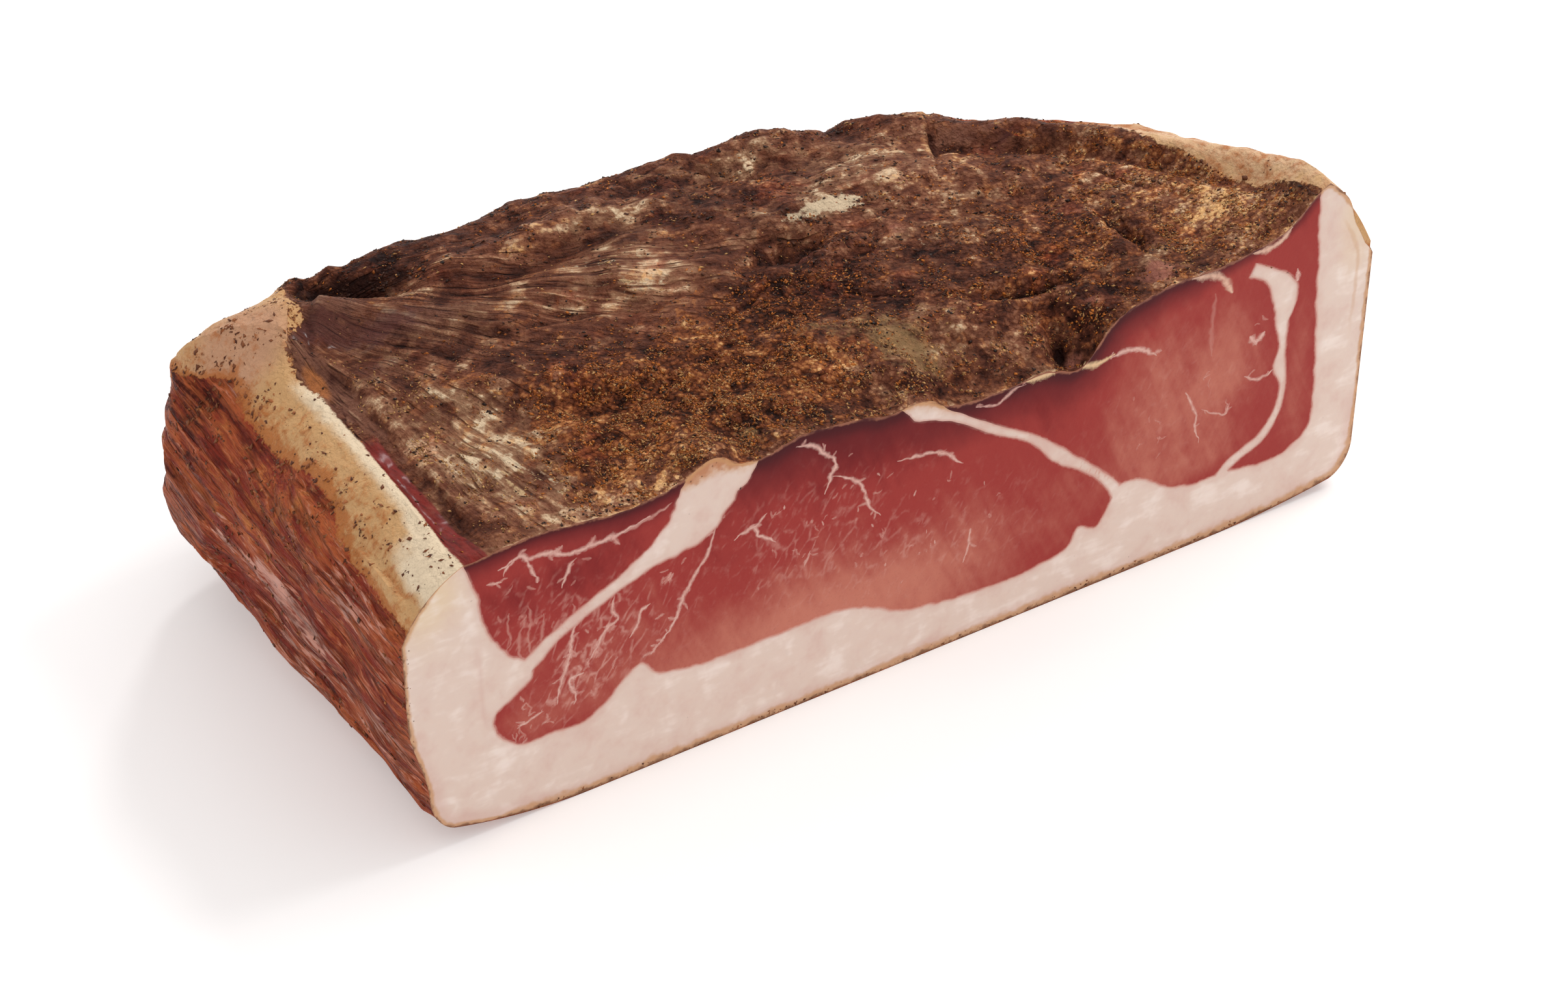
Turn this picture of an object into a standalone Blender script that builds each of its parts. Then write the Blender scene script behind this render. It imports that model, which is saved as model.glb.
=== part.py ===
# A half speck ham, cut once across: cured lean under a pressed spice crust, in its fat and rind.
# Units are metres, +Z up. The cut face looks to -Y, and the piece lies on its rind.
import math

import bmesh
import bpy
import numpy as np
from mathutils import Vector, noise

# The whole piece
CUT_LENGTH = 0.269        # along the cut face, rind to rind
DEPTH = 0.1345            # from the cut to the furthest point of the back
CROWN = 0.080             # height of the crust over the middle
GAP = 0.0003              # between the lean and the fat
SHARPEST = 2.0            # most that a sharp corner of a guide moves out, in gaps
FLAT = 1e-9               # faces under this height are the flat it rests on

# Steps of the skin along the cut, into the depth and up the walls
STEPS = (60, 24, 12)
LOW_STEPS = 3             # of the steps up the wall, those round its foot
TOP_STEPS = 4             # and those round its top edge

# The plan at half height, from the front left corner round the back to the front right one
PLAN = [
    (-0.002, 0.000), (-0.002, 0.040), (-0.004, 0.080), (-0.0062, 0.105), (-0.0057, 0.118),
    (0.001, 0.1275), (0.017, 0.1320), (0.042, 0.1325), (0.070, 0.132), (0.098, DEPTH),
    (0.130, 0.1315), (0.160, 0.1275), (0.188, 0.1205), (0.211, 0.1100), (0.233, 0.0935),
    (0.249, 0.0725), (0.260, 0.048), (0.2665, 0.022), (CUT_LENGTH - 0.002, 0.000),
]
BACK_LEFT = 5             # the plan point where the left side turns into the back
BACK_RIGHT = 15           # the plan point where the back turns into the right side
SCALLOP = dict(depth=0.0016, length=0.027, uneven=31, fade=0.08)   # waves along the back edge
PLAN_STEP = 0.004         # share of the way round over which the plan's direction is read

# Rounding of the edges, read smoothly between places on the plan from 0 to 1:
# (place, inward, down, how much it is a straight bevel)
TOP_EDGE = [
    (0.00, 0.016, 0.016, 0.5), (0.10, 0.018, 0.018, 0.5), (0.20, 0.029, 0.029, 0.5),
    (0.26, 0.027, 0.0315, 0.3), (0.34, 0.018, 0.022, 0.0), (0.46, 0.016, 0.020, 0.0),
    (0.66, 0.014, 0.019, 0.0), (0.80, 0.013, 0.020, 0.2), (0.92, 0.013, 0.022, 0.5),
    (1.00, 0.016, 0.024, 0.85),
]
LOW_EDGE = [
    (0.00, 0.006, 0.009), (0.21, 0.008, 0.012), (0.27, 0.010, 0.018), (0.50, 0.016, 0.022),
    (0.80, 0.014, 0.020), (0.90, 0.009, 0.013), (1.00, 0.007, 0.009),
]
SIDE_LEAN = 0.004         # how far the left wall's foot stands in from its belly
LEAST_DEPTH = 0.3 * DEPTH # the back's rounding is a share of its depth, or of this where it is less

# Crust edge on the cut face: (x, z)
CUT_TOP = [
    (0.000, 0.078), (0.014, 0.078), (0.031, 0.079), (0.061, 0.077), (0.070, 0.079),
    (0.077, 0.082), (0.085, 0.0775), (0.102, 0.079), (0.116, 0.0775), (0.124, 0.0755),
    (0.133, 0.076), (0.142, 0.0715), (0.158, 0.0705), (0.168, 0.071), (0.180, 0.069),
    (0.187, 0.077), (0.201, 0.082), (0.224, 0.083), (0.240, 0.087), (0.249, 0.0945),
    (0.254, 0.0965), (0.280, 0.0965),
]
CUT_REACH = 0.024         # how far in from the cut the crust takes its own height

# Crust heights away from the cut: (x, z) along the middle, and (y, z) along the fat rim
CROWN_LINE = [
    (0.000, 0.0765), (0.020, 0.0770), (0.060, CROWN - 0.001), (0.130, CROWN), (0.280, CROWN),
]
RIM_LINE = [
    (0.000, 0.0965), (0.016, 0.0925), (0.040, 0.0860), (0.060, 0.0820), (0.080, 0.0790),
    (0.105, 0.0765), (0.150, 0.0755),
]
BACK_FALL = dict(height=0.0035, width=0.045, edge=0.010, left=(0.03, 0.09), depth=0.08)   # lower at the back
RIM = dict(start=0.68, full=0.77, inward=0.0135, width=0.0045, height=0.0030, slope=0.050)
GROOVE = dict(depth=0.0030, inward=0.0215, width=0.0035)
STRIP = dict(depth=0.0018, start=0.0155, end=0.0225, soft=0.003, front=(0.004, 0.016))  # bare lean
BAND_END = (0.016, 0.024) # where the smooth fat band turns into rough crust, from either side

# Relief of the crust: (x, y, half length, half width, turn in degrees, height)
CRAGS = dict(
    hollow=(0.139, 0.066, 0.013, 0.0055, 8, -0.0055),
    crumb=(0.147, 0.058, 0.008, 0.0050, 20, 0.0030),
    crumb_left=(0.131, 0.056, 0.006, 0.0045, 0, 0.0022),
    pale_patch=(0.148, 0.078, 0.010, 0.0040, 15, 0.0020),
    cleft=(0.044, 0.112, 0.016, 0.0050, -38, -0.0060),
    cleft_lip=(0.036, 0.103, 0.018, 0.0045, -38, 0.0028),
    left_hollow=(0.032, 0.092, 0.009, 0.0120, 10, -0.0035),
    left_lump=(0.021, 0.098, 0.005, 0.0090, 5, 0.0022),
    back_fold=(0.086, 0.106, 0.030, 0.0055, 6, 0.0024),
    back_fold_dip=(0.092, 0.096, 0.032, 0.0050, 4, -0.0024),
    pale_crest=(0.112, 0.070, 0.022, 0.0060, -22, 0.0022),
    crest_dip=(0.088, 0.070, 0.014, 0.0050, -20, -0.0024),
    middle_ridge=(0.058, 0.052, 0.034, 0.0060, -24, 0.0020),
    middle_dip=(0.060, 0.036, 0.030, 0.0060, -18, -0.0018),
    yellow_swell=(0.120, 0.028, 0.010, 0.0100, -30, 0.0026),
    green_swell=(0.137, 0.014, 0.008, 0.0130, -8, 0.0020),
    crack_long=(0.178, 0.022, 0.012, 0.0022, -14, -0.0042),
    crack_short=(0.177, 0.006, 0.0022, 0.0080, -18, -0.0036),
    crack_right=(0.212, 0.028, 0.0024, 0.0120, -4, -0.0036),
    crack_lip=(0.206, 0.028, 0.0040, 0.0110, -4, 0.0020),
    right_dip=(0.196, 0.058, 0.018, 0.0120, -28, -0.0026),
    grey_swell=(0.180, 0.078, 0.016, 0.0090, -20, 0.0022),
    back_dip=(0.152, 0.104, 0.024, 0.0060, -14, -0.0024),
    back_swell=(0.160, 0.116, 0.012, 0.0070, -20, 0.0022),
    back_notch=(0.182, 0.113, 0.005, 0.0080, 0, -0.0034),
    back_rise=(0.200, 0.104, 0.014, 0.0080, -32, 0.0028),
)
CRAG_SHARE = 0.25         # how much of that relief the smooth fat shows
CRAG_FRONT = 0.006        # over this depth it fades in behind the cut
CRUST_WAVES = (0.0011, 0.0125)    # height and size of the uneven pressed crust
RIND_WAVES = (0.0011, 0.016)      # the same for the rind's skin
RIND_GROOVES = (0.0009, 0.0085)   # grooves that run from the cut to the back
RIND_FRONT = 0.012                # over this depth they fade in behind the cut

# Underside: it lies flat in the middle and curls up to its edges
CURL = dict(left=(0.046, 0.0085), right=(0.050, 0.0045), back=(0.040, 0.0060))
CURL_BACK = (0.35 * DEPTH, 0.75 * DEPTH)   # the back's curl fades in over this depth

# Outline of the lean on the cut face below the crust, from its upper left corner round to the right
LEAN_LEFT = [
    (0.014, 0.130), (0.014, 0.078), (0.017, 0.068), (0.018, 0.061), (0.020, 0.055),
    (0.0235, 0.049), (0.029, 0.0435),
]
LEAN_UNDER = [
    (0.0295, 0.041), (0.025, 0.0365), (0.0205, 0.034), (0.019, 0.0305), (0.0205, 0.0265),
    (0.0255, 0.022), (0.034, 0.0215), (0.042, 0.021), (0.0475, 0.024), (0.053, 0.029),
    (0.0575, 0.0315), (0.061, 0.0275), (0.069, 0.025), (0.085, 0.024), (0.100, 0.024),
    (0.113, 0.0235), (0.121, 0.0205), (0.128, 0.0165), (0.140, 0.014), (0.155, 0.0125),
    (0.169, 0.013), (0.178, 0.0155), (0.181, 0.0200), (0.186, 0.0180), (0.189, 0.0215),
    (0.193, 0.0280), (0.200, 0.0270), (0.206, 0.0225), (0.214, 0.0195), (0.226, 0.019),
    (0.239, 0.017), (0.246, 0.018),
]
LEAN_RIGHT = [
    (0.2515, 0.023), (0.2525, 0.035), (0.2515, 0.050), (0.250, 0.071), (0.2485, 0.092),
    (0.248, 0.130),
]
DEEP_UNDER = 0.021        # height of the lean's underside well inside
DEEP_WAVES = (0.0030, 0.034)
DEEP_WALL = dict(fall=0.0034, lean=0.00012)   # what the left wall inside drops and moves in by each point
DEEP_FROM = 0.050         # depth at which the outline has lost the cut's own notches

# Where the lean's left and right edges run with depth: (y, shift in x)
LEFT_EDGE = [
    (-0.010, 0.000), (0.000, 0.000), (0.022, 0.002), (0.050, 0.003), (0.078, 0.0045), (0.090, 0.003),
    (0.101, 0.007), (0.112, 0.014), (0.124, 0.021), (0.150, 0.034),
]
RIGHT_EDGE = [
    (-0.010, 0.000), (0.000, 0.000), (0.016, -0.006), (0.040, -0.010), (0.060, -0.016),
    (0.075, -0.025), (0.092, -0.038), (0.104, -0.043), (0.118, -0.040), (0.150, -0.030),
]
MIDDLE = 0.100            # left of here the lean follows its left edge alone
LEAN_DEPTHS = [-0.006, 0.0, 0.008, 0.018, 0.030, 0.045, 0.062, 0.080, 0.098, 0.115, 0.130, 0.150]

# Fat seams that run in from the cut: spine (x, z, half width) and the depth where each ends
SEAMS = dict(
    thick=dict(depth=0.036, spine=[
        (0.018, 0.0395, 0.0030), (0.027, 0.0425, 0.0022), (0.035, 0.0485, 0.0016),
        (0.045, 0.0535, 0.0016), (0.054, 0.0575, 0.0018), (0.063, 0.0615, 0.0036),
        (0.071, 0.0660, 0.0068), (0.0760, 0.0730, 0.0080), (0.0795, 0.0800, 0.0100),
        (0.0805, 0.0900, 0.0105),
    ]),
    slanted=dict(depth=0.026, spine=[
        (0.1940, 0.0180, 0.0018), (0.1913, 0.0275, 0.0015), (0.1870, 0.0330, 0.0012),
        (0.1815, 0.0383, 0.0012), (0.1765, 0.0422, 0.0017), (0.1735, 0.0448, 0.0019),
        (0.1670, 0.0515, 0.0011), (0.1540, 0.0600, 0.0012), (0.1435, 0.0675, 0.0013),
        (0.1385, 0.0705, 0.0019), (0.1345, 0.0735, 0.0036), (0.1315, 0.0785, 0.0050),
        (0.1295, 0.0850, 0.0054),
    ]),
    upright=dict(depth=0.030, spine=[
        (0.2195, 0.0100, 0.0022), (0.2265, 0.0205, 0.0014), (0.2375, 0.0265, 0.0013),
        (0.2418, 0.0350, 0.0009), (0.2422, 0.0400, 0.0008), (0.2404, 0.0460, 0.0019),
        (0.2408, 0.0515, 0.0010), (0.2402, 0.0595, 0.0022), (0.2405, 0.0645, 0.0034),
        (0.2392, 0.0695, 0.0037), (0.2362, 0.0735, 0.0022), (0.2325, 0.0762, 0.0017),
        (0.2290, 0.0782, 0.0020),
    ]),
)
SEAM_FRONT = -0.004       # the seams' guides start before the cut
# Share of a seam's depth, of its width there, and of its spine: the crust closes over it
SEAM_RINGS = [
    (0.0, 1.0, 1.0), (0.20, 0.97, 0.84), (0.45, 0.86, 0.76), (0.75, 0.62, 0.70), (1.0, 0.30, 0.66),
]
SEAM_STEP = 0.0042        # between points along a seam
SEAM_LEAST = 6            # fewest points along one


def smooth(keys, at):
    """Values between (place, value...) keys on a soft curve through them."""
    table = np.array(keys, float)
    place, value = table[:, 0], table[:, 1:]
    slope = np.gradient(value, place, axis=0)
    at = np.clip(np.asarray(at, float), place[0], place[-1])
    i = np.clip(np.searchsorted(place, at, side="right") - 1, 0, len(place) - 2)
    step = (place[i + 1] - place[i])[..., None]
    t = ((at - place[i]) / (place[i + 1] - place[i]))[..., None]
    out = (
        (2 * t**3 - 3 * t**2 + 1) * value[i]
        + (t**3 - 2 * t**2 + t) * step * slope[i]
        + (3 * t**2 - 2 * t**3) * value[i + 1]
        + (t**3 - t**2) * step * slope[i + 1]
    )
    return out[..., 0] if value.shape[1] == 1 else out


def ramp(low, high, at):
    t = np.clip((np.asarray(at, float) - low) / (high - low), 0, 1)
    return t * t * (3 - 2 * t)


def along(points):
    """Share of the length walked at each point."""
    p = np.array(points, float)
    walked = np.concatenate([[0], np.cumsum(np.linalg.norm(np.diff(p, axis=0), axis=1))])
    return walked / walked[-1]


def rough(x, y, z, size, seed=0.0):
    """Soft noise between about -1 and 1."""
    return np.array([
        noise.noise(Vector((a / size + seed, b / size - seed, c / size + 2 * seed)))
        for a, b, c in zip(x, y, z)
    ])


PLAN_AT = along(PLAN)
PLAN_KEYS = [(s, *p) for s, p in zip(PLAN_AT, PLAN)]
LEFT_END, RIGHT_END = PLAN_AT[BACK_LEFT], PLAN_AT[BACK_RIGHT]


def plan(s):
    """Plan point, and the direction straight in from it."""
    s = np.asarray(s, float)
    here = smooth(PLAN_KEYS, s)
    behind, ahead = np.maximum(s - PLAN_STEP, 0), np.minimum(s + PLAN_STEP, 1)
    way = smooth(PLAN_KEYS, ahead) - smooth(PLAN_KEYS, behind)
    inward = np.stack([way[..., 1], -way[..., 0]], -1)
    inward /= np.linalg.norm(inward, axis=-1, keepdims=True)
    drift = 2 * np.sin(SCALLOP["uneven"] * here[..., 0])
    waves = SCALLOP["depth"] * np.sin(2 * math.pi * here[..., 0] / SCALLOP["length"] + drift)
    waves *= ramp(LEFT_END, LEFT_END + SCALLOP["fade"], s) * ramp(RIGHT_END, RIGHT_END - SCALLOP["fade"], s)
    return here + inward * waves[..., None], inward


def plan_inside(u, v):
    """Point of the plan at a share of the way across it and of the way back from the cut."""
    left, right = plan(v * LEFT_END)[0], plan(1 - v * (1 - RIGHT_END))[0]
    back = plan(LEFT_END + u * (RIGHT_END - LEFT_END))[0]
    front_left, front_right, back_left, back_right = plan([0, 1, LEFT_END, RIGHT_END])[0]
    u, v = u[:, None], v[:, None]
    return (
        (1 - v) * ((1 - u) * front_left + u * front_right) + v * back + (1 - u) * left + u * right
        - (1 - u) * ((1 - v) * front_left + v * back_left)
        - u * ((1 - v) * front_right + v * back_right)
    )


def nearest_on_plan(x, y):
    """Distance in from the plan's edge, and the place on it."""
    s = np.linspace(0, 1, 241)
    edge, _ = plan(s)
    far = np.hypot(x[:, None] - edge[None, :, 0], y[:, None] - edge[None, :, 1])
    return far.min(1), s[far.argmin(1)]


def bump(x, y, cx, cy, length, width, turn, height):
    a = math.radians(turn)
    along_it = (x - cx) * math.cos(a) + (y - cy) * math.sin(a)
    across = (y - cy) * math.cos(a) - (x - cx) * math.sin(a)
    return height * np.exp(-((along_it / length) ** 2) - (across / width) ** 2)


def top_height(x, y):
    """Height of the crust, the fat band and the rim over a plan point."""
    inside, place = nearest_on_plan(x, y)
    rim = ramp(RIM["start"], RIM["full"], place)
    fall = BACK_FALL["height"] * ramp(BACK_FALL["width"], BACK_FALL["edge"], inside)
    crown = smooth(CROWN_LINE, x) - fall * ramp(*BACK_FALL["left"], x) * ramp(0.0, BACK_FALL["depth"], y)
    rise = rim * ramp(RIM["slope"], RIM["inward"], inside)
    crown = crown * (1 - rise) + (smooth(RIM_LINE, y) - RIM["height"]) * rise
    crown += RIM["height"] * rim * np.exp(-(((inside - RIM["inward"]) / RIM["width"]) ** 2))
    crown -= GROOVE["depth"] * rim * np.exp(-(((inside - GROOVE["inward"]) / GROOVE["width"]) ** 2))
    height = crown + (smooth(CUT_TOP, x) - crown) * ramp(CUT_REACH, 0.0, y)
    on_crust = ramp(*BAND_END, x) * (1 - rim * ramp(*BAND_END[::-1], inside))
    past_edge = x - smooth(LEFT_EDGE, y)
    bare = ramp(STRIP["start"] - STRIP["soft"], STRIP["start"], past_edge) * ramp(*STRIP["front"], y)
    bare *= ramp(STRIP["end"], STRIP["end"] - STRIP["soft"], past_edge)
    relief = sum(bump(x, y, *crag) for crag in CRAGS.values())
    relief += CRUST_WAVES[0] * rough(x, y, 0 * x, CRUST_WAVES[1])
    relief += 0.5 * CRUST_WAVES[0] * rough(x, y, 0 * x, 0.5 * CRUST_WAVES[1], 3.7)
    relief *= (CRAG_SHARE + (1 - CRAG_SHARE) * on_crust) * ramp(0.0, CRAG_FRONT, y)
    return height - STRIP["depth"] * bare + relief


def under_height(x, y):
    """Height of the underside: flat in the middle, curling up to the sides and the back."""
    inside, _ = nearest_on_plan(x, y)
    left, right, back = (np.array(CURL[k]) for k in ("left", "right", "back"))
    rise = left[1] * np.clip(1 - (x - PLAN[0][0]) / left[0], 0, 1) ** 2
    rise += right[1] * np.clip(1 - (CUT_LENGTH - x) / right[0], 0, 1) ** 2
    behind = np.clip(1 - inside / back[0], 0, 1) * ramp(*CURL_BACK, y)
    return rise + back[1] * behind**2


def edge_turn(turn, bevel):
    """How far in, and how far short of the flat, an edge has come: shares of its size."""
    straight = turn / (0.5 * math.pi)
    inward = (1 - np.cos(turn)) * (1 - bevel) + straight * bevel
    short = (1 - np.sin(turn)) * (1 - bevel) + (1 - straight) * bevel
    return inward, short


def place_skin(corners):
    """Maps the corners of a stepped unit box to the surface of the ham."""
    u, v, w = np.array(corners, float).T / np.array(STEPS)[:, None]
    low, high = LOW_STEPS / STEPS[2], 1 - TOP_STEPS / STEPS[2]
    turn_low = 0.5 * math.pi * np.clip(1 - w / low, 0, 1)
    turn_high = 0.5 * math.pi * np.clip((w - high) / (1 - high), 0, 1)
    middle = np.clip((w - low) / (high - low), 0, 1)
    places = dict(
        left=v * LEFT_END, right=1 - v * (1 - RIGHT_END), back=LEFT_END + u * (RIGHT_END - LEFT_END),
    )
    step_in, down, up = {}, {}, {}
    for side, s in places.items():
        top, foot = smooth(TOP_EDGE, s), smooth(LOW_EDGE, s)
        top_in, top_short = edge_turn(turn_high, top[:, 2])
        foot_in, foot_short = edge_turn(turn_low, 0)
        belly = SIDE_LEAN * (side == "left") * ramp(0.5, 0.0, middle) * ramp(LEFT_END, 0.0, s)
        step_in[side] = top[:, 0] * top_in + foot[:, 0] * foot_in + belly
        down[side] = top[:, 1] * np.where(w > high, top_short, 1)
        up[side] = foot[:, 1] * np.where(w < low, foot_short, 1)
    from_left, from_right = step_in["left"] / CUT_LENGTH, step_in["right"] / CUT_LENGTH
    inner_u = from_left + (1 - from_right - from_left) * u
    inner_v = v * (1 - step_in["back"] / np.maximum(plan(places["back"])[0][:, 1], LEAST_DEPTH))
    x, y = plan_inside(inner_u, inner_v).T
    y = np.where(v == 0, 0.0, y)
    roof, floor = top_height(x, y), under_height(x, y)
    top = roof - np.where(v == 1, down["back"], down["left"] * (1 - u) + down["right"] * u)
    foot = floor + np.where(v == 1, up["back"], up["left"] * (1 - u) + up["right"] * u)
    z = np.where(w < low, foot, np.where(w > high, top, foot + (top - foot) * middle))
    # the rind's waves and grooves are on the walls only, and fade out before the cut
    swell = RIND_WAVES[0] * rough(x, y, z, RIND_WAVES[1], 1.3)
    swell += RIND_GROOVES[0] * rough(0.25 * x, 0.25 * y, z, RIND_GROOVES[1], 5.1)
    swell *= np.where((w > 0) & (w < 1) & (v > 0), 1.0, 0.0) * ramp(0.0, RIND_FRONT, y)
    side = np.where(u == 0, places["left"], np.where(u == 1, places["right"], places["back"]))
    inward = plan(side)[1]
    return np.stack([x - inward[:, 0] * swell, y - inward[:, 1] * swell, z], 1)


def stepped_box(steps):
    """Skin of a box in whole steps: its corners, and quads that face out. The cut face is one outline."""
    index, corners, faces = {}, [], []

    def corner(ijk):
        if ijk not in index:
            index[ijk] = len(corners)
            corners.append(ijk)
        return index[ijk]

    for axis in range(3):
        a, b = (axis + 1) % 3, (axis + 2) % 3
        for level in (0, steps[axis]):
            if axis == 1 and level == 0:
                continue
            for p in range(steps[a]):
                for q in range(steps[b]):
                    ring = []
                    for dp, dq in ((0, 0), (1, 0), (1, 1), (0, 1)):
                        ijk = [0, 0, 0]
                        ijk[axis], ijk[a], ijk[b] = level, p + dp, q + dq
                        ring.append(corner(tuple(ijk)))
                    faces += split(ring if level else ring[::-1])
    nu, _, nw = steps
    outline = [(i, 0, 0) for i in range(nu)] + [(nu, 0, k) for k in range(nw)]
    outline += [(i, 0, nw) for i in range(nu, 0, -1)] + [(0, 0, k) for k in range(nw, 0, -1)]
    faces.append([index[c] for c in outline])
    return corners, faces


def split(quad):
    """A quad as two triangles, always along the same diagonal, so that twin surfaces match."""
    a, b, c, d = quad
    return [[a, b, c], [a, c, d]]


def mesh_object(name, points, faces, guide=False, grow=0.0):
    """A closed mesh with its faces out. A guide only cuts others, and can stand off by a small distance."""
    mesh = bpy.data.meshes.new(name)
    mesh.from_pydata([tuple(p) for p in points], [], faces)
    bm = bmesh.new()
    bm.from_mesh(mesh)
    bmesh.ops.recalc_face_normals(bm, faces=bm.faces)
    resting = [f for f in bm.faces if all(v.co.z < FLAT for v in f.verts)]
    if resting and not guide:
        bmesh.ops.dissolve_faces(bm, faces=resting)
    bm.normal_update()
    ways = [v.normal * min(v.calc_shell_factor(), SHARPEST) for v in bm.verts]
    for v, way in zip(bm.verts, ways):
        v.co += grow * way
    bm.to_mesh(mesh)
    bm.free()
    thing = bpy.data.objects.new(name, mesh)
    bpy.context.scene.collection.objects.link(thing)
    if guide:
        thing.hide_render = True
        thing.display_type = "WIRE"
    return thing


def loft(name, rings, grow):
    """Closed guide through rings of equal count, each flat in its own depth."""
    count = len(rings[0])
    points = [p for ring in rings for p in ring]
    faces = [list(range(count)), list(range(len(points) - count, len(points)))]
    for r in range(len(rings) - 1):
        for i in range(count):
            j = (i + 1) % count
            faces += split([r * count + i, r * count + j, (r + 1) * count + j, (r + 1) * count + i])
    return mesh_object(name, points, faces, True, grow)


def lean_body(name, grow):
    """The room that the lean takes, open above the crust, from before the cut to past the back."""
    outline = np.array(LEAN_LEFT + LEAN_UNDER + LEAN_RIGHT)
    first, last = len(LEAN_LEFT) - 1, len(LEAN_LEFT) + len(LEAN_UNDER)
    count = np.arange(last - first + 1)
    deep_x = np.maximum.accumulate(outline[first:last + 1, 0]) + DEEP_WALL["lean"] * count
    deep_wall = outline[first, 1] - DEEP_WALL["fall"] * count[1:-1]
    rings = []
    for y in LEAN_DEPTHS:
        deep = ramp(0.0, DEEP_FROM, y)
        x, z = outline.T.copy()
        x[first:last + 1] = x[first:last + 1] * (1 - deep) + deep_x * deep
        under = slice(first + 1, last)
        flat = 0 * x[under]
        level = DEEP_UNDER + DEEP_WAVES[0] * rough(x[under], flat + y, flat, DEEP_WAVES[1], 7.7)
        z[under] = z[under] * (1 - deep) + np.maximum(level, deep_wall) * deep
        share = ramp(MIDDLE, CUT_LENGTH, x)
        x += smooth(LEFT_EDGE, y) * (1 - share) + smooth(RIGHT_EDGE, y) * share
        rings.append([(a, y, c) for a, c in zip(x, z)])
    return loft(name, rings, grow)


def seam_body(name, spine, depth, grow):
    """A fat seam: a band along its spine at the cut that thins out with depth."""
    keys = [(s, *p) for s, p in zip(along([p[:2] for p in spine]), spine)]
    length = sum(math.dist(a[:2], b[:2]) for a, b in zip(spine, spine[1:]))
    count = max(SEAM_LEAST, round(length / SEAM_STEP))
    rings = []
    for share, wide, reach in [(SEAM_FRONT / depth, 1.0, 1.0)] + SEAM_RINGS:
        line = smooth(keys, np.linspace(0, reach, count))
        way = np.gradient(line[:, :2], axis=0)
        way /= np.linalg.norm(way, axis=1, keepdims=True)
        half = line[:, 2:] * wide * np.stack([way[:, 1], -way[:, 0]], 1)
        around = np.concatenate([line[:, :2] + half, (line[:, :2] - half)[::-1]])
        rings.append([(a, share * depth, c) for a, c in around])
    return loft(name, rings, grow)


def cut_with(thing, tool, operation):
    modifier = thing.modifiers.new(tool.name, "BOOLEAN")
    modifier.operation = operation
    modifier.object = tool
    modifier.solver = "EXACT"


def material(name, colour, roughness):
    made = bpy.data.materials.new(name)
    made.use_nodes = True
    shader = made.node_tree.nodes["Principled BSDF"]
    shader.inputs["Base Color"].default_value = (*colour, 1)
    shader.inputs["Roughness"].default_value = roughness
    shader.inputs["Metallic"].default_value = 0.0
    return made


def build():
    for old in list(bpy.data.objects):
        bpy.data.objects.remove(old)
    corners, faces = stepped_box(STEPS)
    skin = place_skin(corners)
    low, high = skin.min(0), skin.max(0)
    shift = np.array([-(low[0] + high[0]) / 2, -(low[1] + high[1]) / 2, -low[2]])
    lean = mesh_object("lean_meat", skin, faces)
    fat = mesh_object("fat_layer", skin, faces)
    lean_room = lean_body("lean_room", 0.0)
    fat_room = lean_body("fat_room", GAP)
    cut_with(lean, lean_room, "INTERSECT")
    for name, seam in SEAMS.items():
        cut_with(lean, seam_body(name + "_slot", seam["spine"], seam["depth"], GAP), "DIFFERENCE")
        cut_with(fat_room, seam_body(name + "_seam", seam["spine"], seam["depth"], 0.0), "DIFFERENCE")
    cut_with(fat, fat_room, "DIFFERENCE")
    lean.data.materials.append(material("cured_lean", (0.30, 0.055, 0.050), 0.45))
    fat.data.materials.append(material("ham_fat", (0.78, 0.60, 0.52), 0.40))
    for thing in bpy.data.objects:
        thing.location = Vector(shift)


build()
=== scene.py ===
# Half a speck ham: the looks of its cured lean, fat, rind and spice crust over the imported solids.
# The ham's own frame is in mm: x along the cut, y back from it, z up.
import math

import bmesh
import bpy
import numpy as np
from mathutils import Matrix, Vector, noise
from mathutils.bvhtree import BVHTree
from mathutils.kdtree import KDTree


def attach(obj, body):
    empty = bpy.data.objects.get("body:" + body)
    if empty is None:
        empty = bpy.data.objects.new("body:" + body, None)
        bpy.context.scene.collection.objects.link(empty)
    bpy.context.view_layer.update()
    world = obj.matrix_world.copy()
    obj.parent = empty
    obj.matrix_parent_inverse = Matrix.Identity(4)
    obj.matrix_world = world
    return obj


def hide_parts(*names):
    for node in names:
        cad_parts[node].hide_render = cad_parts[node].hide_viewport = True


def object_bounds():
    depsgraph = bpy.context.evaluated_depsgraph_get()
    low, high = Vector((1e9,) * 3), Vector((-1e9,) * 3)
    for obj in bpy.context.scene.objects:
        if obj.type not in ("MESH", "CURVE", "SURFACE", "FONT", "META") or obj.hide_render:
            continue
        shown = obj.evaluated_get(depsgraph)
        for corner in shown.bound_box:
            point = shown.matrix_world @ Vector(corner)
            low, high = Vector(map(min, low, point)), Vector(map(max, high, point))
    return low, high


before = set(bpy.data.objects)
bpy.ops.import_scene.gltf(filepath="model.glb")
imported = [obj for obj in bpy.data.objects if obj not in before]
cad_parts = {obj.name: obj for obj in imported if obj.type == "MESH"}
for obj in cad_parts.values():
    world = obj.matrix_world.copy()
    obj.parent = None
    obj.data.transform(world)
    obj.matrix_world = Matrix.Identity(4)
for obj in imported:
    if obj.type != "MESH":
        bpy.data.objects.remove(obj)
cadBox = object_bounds()
mm = 0.001
print("frame loaded")


# Small maths shared by all pieces

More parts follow.
